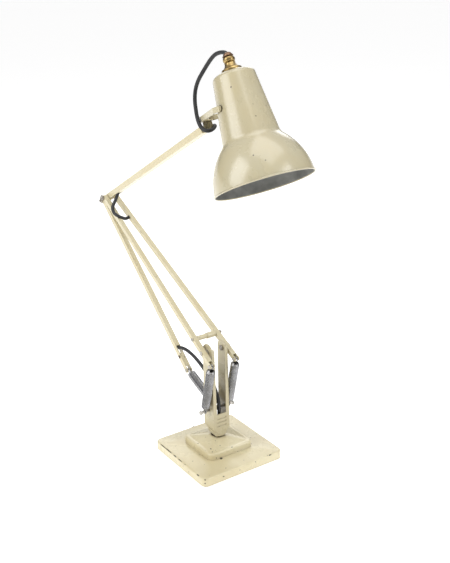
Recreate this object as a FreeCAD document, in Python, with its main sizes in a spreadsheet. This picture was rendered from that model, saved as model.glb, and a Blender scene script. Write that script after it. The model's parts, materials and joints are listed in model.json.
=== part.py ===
import FreeCAD, Part
import math
import os

import Sketcher
from FreeCAD import Placement, Rotation, Vector

# A balanced-arm desk lamp. X is the way the shade reaches, Y runs along the pivots and Z is up.
# The origin is on the table, under the spindle that the fork turns on. All lengths are millimetres.

os.makedirs("parts", exist_ok=True)
doc = FreeCAD.newDocument("balanced_arm_lamp")

# Driving sizes
DRIVING_SIZES = {
    # stepped base
    "base_width": 152.4,
    "base_height": 16.0,
    "base_corner": 9.0,
    "base_edge_round": 2.5,
    "lower_crown": 2.8,
    "tier_width": 83.4,
    "tier_height": 11.4,
    "tier_corner": 9.0,
    "tier_edge_round": 3.0,
    "upper_crown": 6.8,
    "crown_root": 1.0,
    "crown_flat": 27.0,
    "pad_thickness": 1.6,
    "pad_inset": 3.0,
    "recess_width": 112.0,
    "recess_depth": 10.0,
    "outlet_diameter": 9.0,
    "outlet_height": 8.6,
    # swivel under the fork
    "spindle_diameter": 10.0,
    "spindle_head_diameter": 14.0,
    "spindle_head_height": 4.0,
    "washer_thickness": 1.4,
    "thrust_washer_diameter": 22.0,
    "spring_washer_diameter": 17.0,
    "spindle_nut_width": 16.0,
    "spindle_nut_height": 5.0,
    "bearing_clearance": 0.06,
    "side_gap": 0.3,
    # pressed fork
    "fork_width": 30.0,
    "fork_front": 13.5,
    "fork_back": 15.5,
    "fork_head_back": 12.5,
    "fork_foot_width": 18.5,
    "fork_foot_diameter": 25.8,
    "fork_foot_spread": 18.0,
    "fork_foot_height": 6.8,
    "fork_shoulder_height": 15.8,
    "fork_sheet": 2.0,
    "window_bottom": 41.3,
    "window_width": 17.5,
    "window_head_width": 21.0,
    "step_pitch": 6.6,
    "step_height": 2.6,
    "step_depth": 0.8,
    "step_start": 18.8,
    "pivot_height": 189.5,
    "anchor_height": 85.4,
    "anchor_pin_diameter": 4.6,
    "pin_head_height": 1.6,
    # lower arm
    "lower_arm_length": 381.0,
    "lower_arm_angle": 28.25,
    "spring_arm_length": 28.0,
    "bar_width": 7.5,
    "bar_height": 8.0,
    "bar_wall": 1.1,
    "spacer_length": 3.15,
    "pivot_bolt_diameter": 5.8,
    "pivot_nut_diameter": 8.8,
    "pivot_nut_height": 2.6,
    "peened_diameter": 7.2,
    "peened_height": 0.9,
    "bolt_head_diameter": 9.4,
    "bolt_head_height": 3.0,
    "cross_tube_reach": 30.0,
    "cross_tube_diameter": 8.0,
    "cross_sleeve_diameter": 10.0,
    "cross_bolt_diameter": 4.0,
    "small_head_diameter": 7.0,
    "tail_pin_diameter": 3.0,
    "tail_pin_head": 5.2,
    # upper arm
    "upper_arm_length": 382.0,
    "upper_arm_angle": 27.7,
    "upper_arm_width": 11.5,
    "upper_arm_height": 10.0,
    "upper_arm_wall": 1.2,
    "upper_arm_short": 14.0,
    "underside_slot": 42.0,
    "elbow_gap": 0.4,
    "elbow_bolt_diameter": 6.0,
    "tail_length": 25.5,
    "tail_bolt_diameter": 4.4,
    "tail_bolt_head": 8.0,
    "cord_hole_back": 30.0,
    "cord_entry_reach": 321.3,
    # tie bar
    "tie_bar_length": 362.0,
    "tie_bar_angle": 41.05,
    "tie_bar_width": 8.6,
    "tie_bar_height": 9.3,
    "tie_bar_wall": 1.0,
    "tie_bar_end_radius": 3.4,
    "cord_exit_reach": 316.0,
    "cord_exit_length": 14.0,
    "cord_exit_lead": 9.5,
    "cord_exit_turn": 2.5,
    "hook_pin_diameter": 3.2,
    "rivet_back": 27.0,
    "rivet_diameter": 5.0,
    # springs
    "spring_diameter": 14.5,
    "spring_wire": 1.6,
    "hook_radius": 3.6,
    "hook_reach": 8.0,
    "waist_share": 0.68,
    # shade yoke
    "yoke_rise": 11.6,
    "yoke_angle": 18.8,
    "yoke_reach": 96.0,
    "strap_height": 8.0,
    "strap_thickness": 1.6,
    "yoke_bend_radius": 10.0,
    "yoke_ear_length": 16.0,
    "yoke_plate": 2.0,
    "knuckle_diameter": 14.0,
    "knuckle_height": 11.0,
    "swivel_screw_diameter": 5.0,
    "swivel_head_diameter": 9.0,
    "shade_screw_diameter": 4.0,
    "shade_head_diameter": 5.6,
    "shade_head_height": 1.0,
    # shade
    "shade_angle": 26.8,
    "shade_pivot_above_rim": 114.0,
    "rim_radius": 71.0,
    "bell_radius": 91.7,
    "bell_height": 62.0,
    "bell_neck_radius": 44.0,
    "waist_radius": 41.0,
    "waist_height": 66.0,
    "can_radius": 30.3,
    "can_height": 153.5,
    "shoulder_height": 7.5,
    "can_top_radius": 24.0,
    "shade_wall": 1.0,
    "bead_size": 1.3,
    "pivot_washer": 0.6,
    "pivot_washer_diameter": 9.0,
    # lampholder
    "cap_radius": 13.4,
    "cap_rim": 1.8,
    "cap_waist_radius": 6.0,
    "cap_skirt_height": 12.0,
    "cap_ball_round": 4.4,
    "cap_height": 21.0,
    "grip_radius": 7.5,
    "grip_height": 7.0,
    "grip_mouth": 1.3,
    "entry_radius": 13.0,
    "holder_radius": 13.0,
    "holder_length": 44.0,
    "holder_wall": 1.7,
    "bulb_depth": 17.0,
    "bayonet_slot": 2.6,
    "bayonet_depth": 9.0,
    "ring_radius": 19.0,
    "ring_thickness": 3.0,
    "contact_radius": 1.6,
    "contact_spacing": 9.0,
    # cord
    "cord_diameter": 5.8,
    "cord_slack": 0.5,
}

sheet = doc.addObject("Spreadsheet::Sheet", "Sizes")
for row, (alias, number) in enumerate(DRIVING_SIZES.items(), start=1):
    sheet.set(f"A{row}", alias.replace("_", " "))
    sheet.set(f"B{row}", str(number))
    sheet.setAlias(f"B{row}", alias)
doc.recompute()


class Size:
    """A number together with the spreadsheet expression that gives it."""

    def __init__(self, value, text=None):
        self.value = float(value)
        self.text = text or repr(float(value))

    def join(self, other, value, sign):
        return Size(value, f"({self.text} {sign} {other.text})")

    def __add__(self, other):
        other = as_size(other)
        return self.join(other, self.value + other.value, "+")

    def __sub__(self, other):
        other = as_size(other)
        return self.join(other, self.value - other.value, "-")

    def __mul__(self, other):
        other = as_size(other)
        return self.join(other, self.value * other.value, "*")

    def __truediv__(self, other):
        other = as_size(other)
        return self.join(other, self.value / other.value, "/")

    def __radd__(self, other):
        return as_size(other) + self

    def __rsub__(self, other):
        return as_size(other) - self

    def __rmul__(self, other):
        return as_size(other) * self

    def __neg__(self):
        return as_size(0) - self


def as_size(number):
    return number if isinstance(number, Size) else Size(number)


def cosine(angle):
    return Size(math.cos(math.radians(angle.value)), f"cos({angle.text})")


def sine(angle):
    return Size(math.sin(math.radians(angle.value)), f"sin({angle.text})")


class Sheet:
    """Reads each driving size by its name."""

    def __getattr__(self, alias):
        return Size(DRIVING_SIZES[alias], f"Sizes.{alias}")


S = Sheet()


def bind(thing, prop, size):
    size = as_size(size)
    if "Sizes" in size.text:
        thing.setExpression(prop, size.text)
    else:
        setattr(thing, prop, size.value)


def put(thing, x=0, y=0, z=0, rotation=None):
    """Places a piece by sizes, so that it follows the sheet."""
    x, y, z = as_size(x), as_size(y), as_size(z)
    thing.Placement = Placement(Vector(x.value, y.value, z.value), rotation or Rotation())
    for letter, size in (("x", x), ("y", y), ("z", z)):
        if "Sizes" in size.text:
            thing.setExpression(f"Placement.Base.{letter}", size.text)
    return thing


ALONG = {
    "X": Rotation(Vector(0, 1, 0), 90),
    "Y": Rotation(Vector(1, 0, 0), -90),
    "Z": Rotation(),
}


def cylinder(name, diameter, length, x=0, y=0, z=0, axis="Z"):
    """A cylinder that starts at the point given and runs along the axis."""
    thing = doc.addObject("Part::Cylinder", name)
    bind(thing, "Radius", as_size(diameter) / 2)
    bind(thing, "Height", length)
    return put(thing, x, y, z, ALONG[axis])


def cross_cylinder(name, diameter, length, x=0, z=0, y=0):
    """A cylinder along Y, centred on the value given for y."""
    return cylinder(name, diameter, length, x, as_size(y) - as_size(length) / 2, z, "Y")


def box(name, length, width, height, x=0, y=0, z=0):
    """A box from its low corner in X and Z, and centred on Y."""
    thing = doc.addObject("Part::Box", name)
    bind(thing, "Length", length)
    bind(thing, "Width", width)
    bind(thing, "Height", height)
    return put(thing, x, as_size(y) - as_size(width) / 2, z)


def join(name, *pieces):
    thing = doc.addObject("Part::MultiFuse", name)
    thing.Shapes = list(pieces)
    return thing


def cut(name, base, *tools):
    thing = doc.addObject("Part::Cut", name)
    thing.Base = base
    thing.Tool = tools[0] if len(tools) == 1 else join(name + "_cutters", *tools)
    return thing


def common(name, *pieces):
    thing = doc.addObject("Part::MultiCommon", name)
    thing.Shapes = list(pieces)
    return thing


def sketch_on(body, name, role, offset=0):
    sketch = body.newObject("Sketcher::SketchObject", name)
    face = next(f for f in body.Origin.OriginFeatures if f.Role == role)
    sketch.AttachmentSupport = (face, "")
    sketch.MapMode = "FlatFace"
    offset = as_size(offset)
    sketch.AttachmentOffset = Placement(Vector(0, 0, offset.value), Rotation())
    if "Sizes" in offset.text:
        sketch.setExpression("AttachmentOffset.Base.z", offset.text)
    return sketch


def arc_between(start, end, radius):
    """An arc from start to end that bulges to the right of the way it runs, or to the left if radius is negative."""
    size = abs(radius)
    chord = end - start
    middle = (start + end) * 0.5
    right = Vector(chord.y, -chord.x, 0).normalize() * math.copysign(1, radius)
    depth = math.sqrt(max(size**2 - (chord.Length / 2) ** 2, 0))
    centre = middle - right * depth
    circle = Part.Circle(centre, Vector(0, 0, 1), size)
    first, last = (start, end) if radius > 0 else (end, start)
    turn = [math.atan2(p.y - centre.y, p.x - centre.x) for p in (first, last)]
    return Part.ArcOfCircle(circle, turn[0], turn[1]), radius > 0


def outline(sketch, points, arcs=None):
    """Draws a closed outline through points whose places follow the sheet. arcs gives the radius of the edge that
    leaves a point, for the edges that are round."""
    arcs = arcs or {}
    places = [(as_size(x), as_size(y)) for x, y in points]
    corners = [Vector(x.value, y.value, 0) for x, y in places]
    count = len(corners)
    ends = []
    for i in range(count):
        start, end = corners[i], corners[(i + 1) % count]
        if i in arcs:
            shape, forward = arc_between(start, end, as_size(arcs[i]).value)
            sketch.addGeometry(shape)
            ends.append((1, 2) if forward else (2, 1))
        else:
            sketch.addGeometry(Part.LineSegment(start, end))
            ends.append((1, 2))
    for i in range(count):
        following = (i + 1) % count
        link = Sketcher.Constraint("Coincident", i, ends[i][1], following, ends[following][0])
        sketch.addConstraint(link)
    for i, place in enumerate(places):
        for kind, size in zip(("DistanceX", "DistanceY"), place):
            rule = Sketcher.Constraint(kind, -1, 1, i, ends[i][0], size.value)
            number = sketch.addConstraint(rule)
            if "Sizes" in size.text:
                sketch.setExpression(f"Constraints[{number}]", size.text)
    for i, radius in arcs.items():
        (x, y), (next_x, next_y) = places[i], places[(i + 1) % count]
        chord = corners[(i + 1) % count] - corners[i]
        radius = as_size(radius)
        if abs(chord.Length - abs(radius.value) * 2) < 1e-6:
            # A half circle is held by its centre, which lies midway between its ends.
            if abs(chord.x) < abs(chord.y):
                rule, size = "DistanceX", (x + next_x) / 2
            else:
                rule, size = "DistanceY", (y + next_y) / 2
            number = sketch.addConstraint(Sketcher.Constraint(rule, -1, 1, i, 3, size.value))
        else:
            size = radius if radius.value > 0 else -radius
            number = sketch.addConstraint(Sketcher.Constraint("Radius", i, size.value))
        if "Sizes" in size.text:
            sketch.setExpression(f"Constraints[{number}]", size.text)
    return sketch


def slab(name, role, length, points, arcs=None, offset=0, centred=True):
    """A body made by padding one outline."""
    body = doc.addObject("PartDesign::Body", name)
    sketch = outline(sketch_on(body, name + "_outline", role, offset), points, arcs)
    pad = body.newObject("PartDesign::Pad", name + "_pad")
    pad.Profile = sketch
    pad.SideType = "Symmetric" if centred else "One side"
    bind(pad, "Length", length)
    return body


def raised(name, low, low_z, high, high_z):
    """A body that rises from one outline to another with straight sides. Each is given as points and arcs."""
    body = doc.addObject("PartDesign::Body", name)
    foot = outline(sketch_on(body, name + "_foot", "XY_Plane", low_z), *low)
    head = outline(sketch_on(body, name + "_head", "XY_Plane", high_z), *high)
    loft = body.newObject("PartDesign::AdditiveLoft", name + "_loft")
    loft.Profile = foot
    loft.Sections = [head]
    loft.Ruled = True
    return body


def turned(name, points, arcs=None):
    """A body turned about Z. The points are radius and height."""
    body = doc.addObject("PartDesign::Body", name)
    sketch = outline(sketch_on(body, name + "_profile", "XZ_Plane"), points, arcs)
    turn = body.newObject("PartDesign::Revolution", name + "_turn")
    turn.Profile = sketch
    turn.ReferenceAxis = (sketch, ["V_Axis"])
    turn.Angle = 360
    return body


def ring(inner, outer, bottom, top):
    """The outline of a washer or tube for turning."""
    return [(inner, bottom), (outer, bottom), (outer, top), (inner, top)]


def rounded_square(width, corner):
    """The outline of a square with round corners, and the edges that are arcs."""
    half = width / 2
    inner = half - corner
    points = [(-inner, -half), (inner, -half), (half, -inner), (half, inner)]
    points += [(inner, half), (-inner, half), (-half, inner), (-half, -inner)]
    return points, {1: corner, 3: corner, 5: corner, 7: corner}


def round_top(body, height, radius, name):
    """Rounds the edges of the body's flat face at the height given."""
    doc.recompute()
    tip = body.Tip
    faces = tip.Shape.Faces
    flat = [i for i, f in enumerate(faces, start=1) if abs(f.BoundBox.ZMin - height.value) < 0.01]
    flat = [i for i in flat if abs(faces[i - 1].BoundBox.ZMax - height.value) < 0.01]
    fillet = body.newObject("PartDesign::Fillet", name)
    fillet.Base = (tip, [f"Face{flat[0]}"])
    bind(fillet, "Radius", radius)


NODES = {}


def node(name, thing, placement=None):
    """Names a finished piece, and sets it in its place."""
    thing.Label = name
    if placement:
        thing.Placement = placement
    NODES[name] = thing
    return thing


def shape_node(name, shape, placement=None):
    thing = doc.addObject("Part::Feature", name)
    thing.Shape = shape
    return node(name, thing, placement or Placement())


# Places that several pieces share
TIER_FOOT = S.base_height + S.lower_crown
TIER_TOP = TIER_FOOT + S.tier_height
CROWN_TOP = TIER_TOP + S.upper_crown
FORK_BOTTOM = CROWN_TOP + S.washer_thickness + S.side_gap
FORK_MIDDLE = (S.fork_front - S.fork_head_back) / 2
FORK_HEAD = (S.fork_front + S.fork_head_back) / 2
ELBOW_X = -(S.lower_arm_length * cosine(S.lower_arm_angle))
ELBOW_Z = S.pivot_height + S.lower_arm_length * sine(S.lower_arm_angle)
TAIL_X = ELBOW_X - S.tail_length * cosine(S.upper_arm_angle)
TAIL_Z = ELBOW_Z - S.tail_length * sine(S.upper_arm_angle)
HOOK_X = TAIL_X + S.tie_bar_length * cosine(S.tie_bar_angle)
HOOK_Z = TAIL_Z - S.tie_bar_length * sine(S.tie_bar_angle)
SPRING_PIN_X = S.spring_arm_length * cosine(S.lower_arm_angle)
SPRING_PIN_Z = S.pivot_height - S.spring_arm_length * sine(S.lower_arm_angle)
CROSS_X = -(S.cross_tube_reach * cosine(S.lower_arm_angle))
CROSS_Z = S.pivot_height + S.cross_tube_reach * sine(S.lower_arm_angle)
ENTRY_X = -(S.cord_entry_reach * cosine(S.lower_arm_angle))
ENTRY_Z = S.pivot_height + S.cord_entry_reach * sine(S.lower_arm_angle)
SHADE_TOP = S.can_height + S.shoulder_height
BAR_AT_PIVOT = S.fork_width / 2 + S.spacer_length + S.side_gap + S.bar_width / 2
BAR_AT_ELBOW = S.upper_arm_width / 2 + S.elbow_gap + S.bar_width / 2
SWIVEL_X = (
    ELBOW_X + S.upper_arm_length * cosine(S.upper_arm_angle) - S.yoke_rise * sine(S.upper_arm_angle)
)
SWIVEL_Z = (
    ELBOW_Z + S.upper_arm_length * sine(S.upper_arm_angle) + S.yoke_rise * cosine(S.upper_arm_angle)
)
SHADE_X = SWIVEL_X + S.yoke_reach * cosine(S.yoke_angle)
SHADE_Z = SWIVEL_Z + S.yoke_reach * sine(S.yoke_angle)


def bar_offset(reach):
    """How far from the middle plane a lower bar is, at a distance from the pivot towards the elbow."""
    return BAR_AT_PIVOT + (BAR_AT_ELBOW - BAR_AT_PIVOT) * reach / S.lower_arm_length


def in_plane(x, z, angle, y=0):
    """A placement in the plane of the arms: local X rises from the horizontal by the angle in degrees."""
    return Placement(Vector(x.value, y, z.value), Rotation(Vector(0, 1, 0), -angle))


LOWER_FRAME = in_plane(as_size(0), S.pivot_height, 180 - S.lower_arm_angle.value)
UPPER_FRAME = in_plane(ELBOW_X, ELBOW_Z, S.upper_arm_angle.value)
TIE_FRAME = in_plane(TAIL_X, TAIL_Z, -S.tie_bar_angle.value)
YOKE_FRAME = in_plane(SWIVEL_X, SWIVEL_Z, S.yoke_angle.value)
# The shade's own Z runs up its axis from the rim.
SHADE_AXIS = Rotation(Vector(0, 1, 0), -S.shade_angle.value)
SHADE_PIVOT = Vector(SHADE_X.value, 0, SHADE_Z.value)
RIM_CENTRE = SHADE_PIVOT - SHADE_AXIS.multVec(Vector(0, 0, S.shade_pivot_above_rim.value))
SHADE_FRAME = Placement(RIM_CENTRE, SHADE_AXIS)


# Stepped cast base: each tier's top rises a little towards the middle
def make_base():
    casting = slab(
        "base_lower_tier",
        "XY_Plane",
        S.base_height - S.pad_thickness,
        *rounded_square(S.base_width, S.base_corner),
        offset=S.pad_thickness,
        centred=False,
    )
    round_top(casting, S.base_height, S.base_edge_round, "lower_edge_round")
    lower_crown = raised(
        "base_lower_crown",
        rounded_square(S.base_width - S.base_edge_round * 2, S.base_corner - S.base_edge_round),
        S.base_height,
        rounded_square(S.tier_width, S.tier_corner),
        TIER_FOOT,
    )
    tier = slab(
        "base_upper_tier",
        "XY_Plane",
        TIER_TOP - S.base_height / 2,
        *rounded_square(S.tier_width, S.tier_corner),
        offset=S.base_height / 2,
        centred=False,
    )
    round_top(tier, TIER_TOP, S.tier_edge_round, "upper_edge_round")
    tier_flat = S.tier_width - S.tier_edge_round * 2
    upper_crown = raised(
        "base_upper_crown",
        rounded_square(tier_flat, S.tier_corner - S.tier_edge_round),
        TIER_TOP - S.crown_root,
        rounded_square(S.crown_flat, S.tier_corner),
        CROWN_TOP,
    )
    recess_outline, recess_arcs = rounded_square(S.recess_width, S.tier_corner)
    recess = slab(
        "base_recess",
        "XY_Plane",
        S.recess_depth + S.pad_thickness,
        recess_outline,
        recess_arcs,
        offset=0,
        centred=False,
    )
    bore = cylinder("base_bore", S.spindle_diameter + S.bearing_clearance * 2, TIER_TOP * 2)
    outlet = cylinder(
        "base_outlet", S.outlet_diameter, S.base_width / 2, -S.base_width, 0, S.outlet_height, "X"
    )
    bind(outlet, "Height", S.base_width)
    solid = join("tiers", casting, lower_crown, tier, upper_crown)
    node("base_casting", cut("casting", solid, recess, bore, outlet))

    pad_outline, pad_arcs = rounded_square(S.base_width - S.pad_inset * 2, S.base_corner)
    pad = slab("felt", "XY_Plane", S.pad_thickness, pad_outline, pad_arcs, centred=False)
    node("base_pad", pad)

    flange = S.outlet_diameter / 2 + 1.6
    wall = (S.base_width - S.recess_width) / 2
    hole = S.cord_diameter / 2 + S.cord_slack
    profile = [(hole, -1.8), (flange, -1.8), (flange, 0), (S.outlet_diameter / 2, 0)]
    profile += [(S.outlet_diameter / 2, wall), (hole, wall)]
    grommet = turned("outlet_grommet_body", profile)
    face = Vector(-S.base_width.value / 2, 0, S.outlet_height.value)
    node("outlet_grommet", grommet, Placement(face, ALONG["X"]))


# Swivel that the fork turns on
def make_swivel():
    radius = S.spindle_diameter / 2
    clear = radius + S.bearing_clearance
    washer = ring(clear, S.thrust_washer_diameter / 2, CROWN_TOP, CROWN_TOP + S.washer_thickness)
    node("thrust_washer", turned("thrust_washer_body", washer))

    recess_top = S.pad_thickness + S.recess_depth
    washer_top = recess_top - S.side_gap
    washer_bottom = washer_top - S.washer_thickness
    spring_washer = ring(radius, S.spring_washer_diameter / 2, washer_bottom, washer_top)
    node("spring_washer", turned("spring_washer_body", spring_washer))

    floor = FORK_BOTTOM + S.fork_sheet
    head_top = floor + S.spindle_head_height
    stem_bottom = washer_bottom - S.spindle_nut_height - 1
    passage = S.cord_diameter / 2 + S.cord_slack
    head = S.spindle_head_diameter / 2
    spindle = [(passage, stem_bottom), (radius, stem_bottom), (radius, floor)]
    spindle += [(head, floor), (head, head_top), (passage, head_top)]
    node("spindle", turned("spindle_body", spindle))

    nut_blank = doc.addObject("Part::Prism", "spindle_nut_blank")
    nut_blank.Polygon = 6
    bind(nut_blank, "Circumradius", S.spindle_nut_width / 2 / math.cos(math.pi / 6))
    bind(nut_blank, "Height", S.spindle_nut_height)
    put(nut_blank, 0, 0, washer_bottom - S.spindle_nut_height)
    nut_bore = cylinder("spindle_nut_bore", S.spindle_diameter, washer_top)
    node("spindle_nut", cut("spindle_nut_cut", nut_blank, nut_bore))


# Pressed fork: two cheeks and a stepped web, narrowed to a foot
def fork_front_view(inset):
    """The fork seen along X. The inset gives the hollow inside the sheet."""
    foot = S.fork_foot_width / 2 - inset
    cheek = S.fork_width / 2 - inset
    bottom = FORK_BOTTOM + inset
    top = S.pivot_height + FORK_HEAD * 2
    neck = FORK_BOTTOM + S.fork_foot_height
    shoulder = FORK_BOTTOM + S.fork_shoulder_height
    left = [(-cheek, top), (-cheek, shoulder), (-foot, neck), (-foot, bottom)]
    return left + [(foot, bottom), (foot, neck), (cheek, shoulder), (cheek, top)]


def make_fork():
    shoulder = FORK_BOTTOM + S.fork_shoulder_height
    side = [(-S.fork_back, FORK_BOTTOM), (S.fork_front, FORK_BOTTOM), (S.fork_front, S.pivot_height)]
    side += [(-S.fork_head_back, S.pivot_height), (-S.fork_back, shoulder)]
    side_view = slab("fork_side", "XZ_Plane", S.fork_width * 2, side, {2: FORK_HEAD})
    front_view = slab("fork_face", "YZ_Plane", S.fork_width * 3, fork_front_view(0))
    reach = S.fork_front - S.fork_sheet
    hollow = slab(
        "fork_hollow",
        "YZ_Plane",
        S.fork_back * 2,
        fork_front_view(S.fork_sheet),
        offset=reach - S.fork_back * 2,
        centred=False,
    )
    low = S.window_width / 2
    high = S.window_head_width / 2
    window_bottom = FORK_BOTTOM + S.window_bottom
    window_top = S.pivot_height + FORK_HEAD * 2
    window = slab(
        "fork_window",
        "YZ_Plane",
        S.fork_width * 2,
        [(-low, window_bottom), (low, window_bottom), (high, window_top), (-high, window_top)],
    )
    steps = []
    for i in range(3):
        step_bottom = FORK_BOTTOM + S.step_start + S.step_pitch * i
        step = box(
            f"fork_step_{i}",
            S.step_depth * 2,
            S.window_width,
            S.step_height,
            S.fork_front - S.step_depth,
            0,
            step_bottom,
        )
        steps.append(step)
    through = S.fork_width * 2
    pivot = cross_cylinder("fork_pivot_hole", S.pivot_bolt_diameter, through, 0, S.pivot_height)
    anchor = cross_cylinder("fork_anchor_hole", S.anchor_pin_diameter, through, 0, S.anchor_height)
    stem = cylinder("fork_stem_hole", S.spindle_diameter, FORK_BOTTOM + S.fork_sheet * 2)
    # The foot's corners are drawn in to a round seat on the base.
    foot = S.fork_foot_diameter / 2
    spread = foot + S.fork_foot_spread
    spread_top = FORK_BOTTOM + S.fork_foot_spread
    seat = turned(
        "fork_seat", [(0, FORK_BOTTOM), (foot, FORK_BOTTOM), (spread, spread_top), (spread, window_top), (0, window_top)]
    )
    blank = common("fork_blank", side_view, front_view, seat)
    node("fork", cut("fork_cut", blank, hollow, window, *steps, pivot, anchor, stem))


def pin_with_heads(name, diameter, head, reach, x, z, thickness):
    """A pin along Y, with a head on each end."""
    shank = cross_cylinder(name + "_shank", diameter, reach * 2, x, z)
    near = cylinder(name + "_near", head, thickness, x, -reach - thickness, z, "Y")
    far = cylinder(name + "_far", head, thickness, x, reach, z, "Y")
    return join(name + "_joined", shank, near, far)


def make_fork_fasteners():
    reach = bar_offset(-S.spring_arm_length) + S.spring_diameter / 2 + S.side_gap
    head = S.anchor_pin_diameter + 2.4
    pin = pin_with_heads(
        "anchor", S.anchor_pin_diameter, head, reach, as_size(0), S.anchor_height, S.pin_head_height
    )
    node("anchor_pin", pin)

    inside = S.fork_width / 2 - S.fork_sheet
    outside = BAR_AT_PIVOT + S.bar_width / 2 + S.side_gap
    bolts = []
    nuts = []
    spacers = []
    for side in (-1, 1):
        tag = "front" if side < 0 else "rear"
        middle = (inside - S.pivot_nut_height + outside) / 2 * side
        length = outside - inside + S.pivot_nut_height
        shank = cross_cylinder(
            f"pivot_shank_{tag}", S.pivot_bolt_diameter, length, 0, S.pivot_height, middle
        )
        peened = cross_cylinder(
            f"pivot_peened_{tag}",
            S.peened_diameter,
            S.peened_height,
            0,
            S.pivot_height,
            (outside + S.peened_height / 2) * side,
        )
        bolts.append(join(f"pivot_bolt_{tag}", shank, peened))
        nut = cross_cylinder(
            f"pivot_nut_blank_{tag}",
            S.pivot_nut_diameter,
            S.pivot_nut_height,
            0,
            S.pivot_height,
            (inside - S.pivot_nut_height / 2) * side,
        )
        hole = cross_cylinder(
            f"pivot_nut_hole_{tag}", S.pivot_bolt_diameter, outside * 3, 0, S.pivot_height
        )
        nuts.append(cut(f"pivot_nut_{tag}", nut, hole))
        spacer = cross_cylinder(
            f"spacer_blank_{tag}",
            S.bolt_head_diameter,
            S.spacer_length,
            0,
            S.pivot_height,
            (S.fork_width / 2 + S.spacer_length / 2) * side,
        )
        spacers.append(cut(f"pivot_spacer_{tag}", spacer, hole))
    node("pivot_bolts", join("pivot_bolts_pair", *bolts))
    node("pivot_nuts", join("pivot_nuts_pair", *nuts))
    node("pivot_spacers", join("pivot_spacers_pair", *spacers))


# Lower arm: two hollow bars that close in towards the elbow
def bar_placement(side):
    """Where a lower bar's own frame lies. Its X runs from the pivot to the elbow."""
    start = Vector(0, BAR_AT_PIVOT.value * side, S.pivot_height.value)
    end = Vector(ELBOW_X.value, BAR_AT_ELBOW.value * side, ELBOW_Z.value)
    along = (end - start).normalize()
    up = LOWER_FRAME.Rotation.multVec(Vector(0, 0, -1))
    across = up.cross(along)
    return Placement(start, Rotation(along, across, up, "XYZ")), (end - start).Length


def make_bar(name, side, cord_hole):
    placement, length = bar_placement(side)
    round_end = S.bar_height / 2
    back = -S.spring_arm_length
    points = [(back, -round_end), (length, -round_end), (length, round_end), (back, round_end)]
    blank = slab(name + "_blank", "XZ_Plane", S.bar_width, points, {1: round_end, 3: round_end})
    inner_width = S.bar_width - S.bar_wall * 2
    inner_height = S.bar_height - S.bar_wall * 2
    whole = S.spring_arm_length + length + S.bar_height * 2
    start = back - S.bar_height
    bore = box(name + "_bore", whole, inner_width, inner_height, start, 0, -inner_height / 2)
    # The top and bottom walls stop short of the spring's pin, and the side walls make its ears.
    clevis_length = S.bar_height + S.hook_radius + S.spring_wire * 2
    clevis = box(name + "_clevis", clevis_length, inner_width, S.bar_height * 2, start, 0, -S.bar_height)
    hollow = cut(name + "_hollow", blank, bore, clevis)
    hollow.Placement = placement
    through = S.fork_width * 4
    fit = S.bearing_clearance * 2
    holes = [
        cross_cylinder(name + "_pivot", S.pivot_bolt_diameter + fit, through, 0, S.pivot_height),
        cross_cylinder(name + "_elbow", S.elbow_bolt_diameter, through, ELBOW_X, ELBOW_Z),
        cross_cylinder(name + "_cross", S.cross_bolt_diameter, through, CROSS_X, CROSS_Z),
        cross_cylinder(name + "_tail", S.tail_pin_diameter, through, SPRING_PIN_X, SPRING_PIN_Z),
    ]
    if cord_hole:
        hole_length = BAR_AT_ELBOW + S.bar_width / 4
        hole_diameter = S.cord_diameter + S.cord_slack
        entry = cylinder(name + "_cord", hole_diameter, hole_length, ENTRY_X, 0, ENTRY_Z, "Y")
        holes.append(entry)
    return node(name, cut(name + "_cut", hollow, *holes))


def make_lower_arm():
    make_bar("lower_bar_front", -1, False)
    make_bar("lower_bar_rear", 1, True)

    gap = bar_offset(S.cross_tube_reach) - S.bar_width / 2 - 0.25
    tube = cross_cylinder("cross_tube_blank", S.cross_tube_diameter, gap * 2, CROSS_X, CROSS_Z)
    sleeve = cylinder(
        "cross_sleeve", S.cross_sleeve_diameter, gap - 1, CROSS_X, 1, CROSS_Z, "Y"
    )
    hole = cross_cylinder("cross_tube_hole", S.cross_bolt_diameter, gap * 3, CROSS_X, CROSS_Z)
    node("cross_tube", cut("cross_tube_cut", join("cross_tube_outside", tube, sleeve), hole))

    reach = bar_offset(S.cross_tube_reach) + S.bar_width / 2 + 0.25
    bolt = pin_with_heads(
        "cross_bolt_pin",
        S.cross_bolt_diameter,
        S.small_head_diameter,
        reach,
        CROSS_X,
        CROSS_Z,
        S.bolt_head_height * 0.8,
    )
    node("cross_bolt", bolt)

    reach = BAR_AT_ELBOW + S.bar_width / 2 + 0.2
    bolt = pin_with_heads(
        "elbow_bolt_pin",
        S.elbow_bolt_diameter,
        S.bolt_head_diameter,
        reach,
        ELBOW_X,
        ELBOW_Z,
        S.bolt_head_height,
    )
    node("elbow_bolt", bolt)

    pins = []
    for side in (-1, 1):
        tag = "front" if side < 0 else "rear"
        length = S.bar_width + 0.4
        middle = bar_offset(-S.spring_arm_length) * side
        shank = cross_cylinder(
            f"tail_shank_{tag}", S.tail_pin_diameter, length, SPRING_PIN_X, SPRING_PIN_Z, middle
        )
        heads = []
        for end in (-1, 1):
            place = middle + (length / 2 + S.pin_head_height / 2) * end
            head = cross_cylinder(
                f"tail_head_{tag}_{end + 1}",
                S.tail_pin_head,
                S.pin_head_height,
                SPRING_PIN_X,
                SPRING_PIN_Z,
                place,
            )
            heads.append(head)
        pins.append(join(f"tail_pin_{tag}", shank, *heads))
    node("tail_pins", join("tail_pins_pair", *pins))


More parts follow.
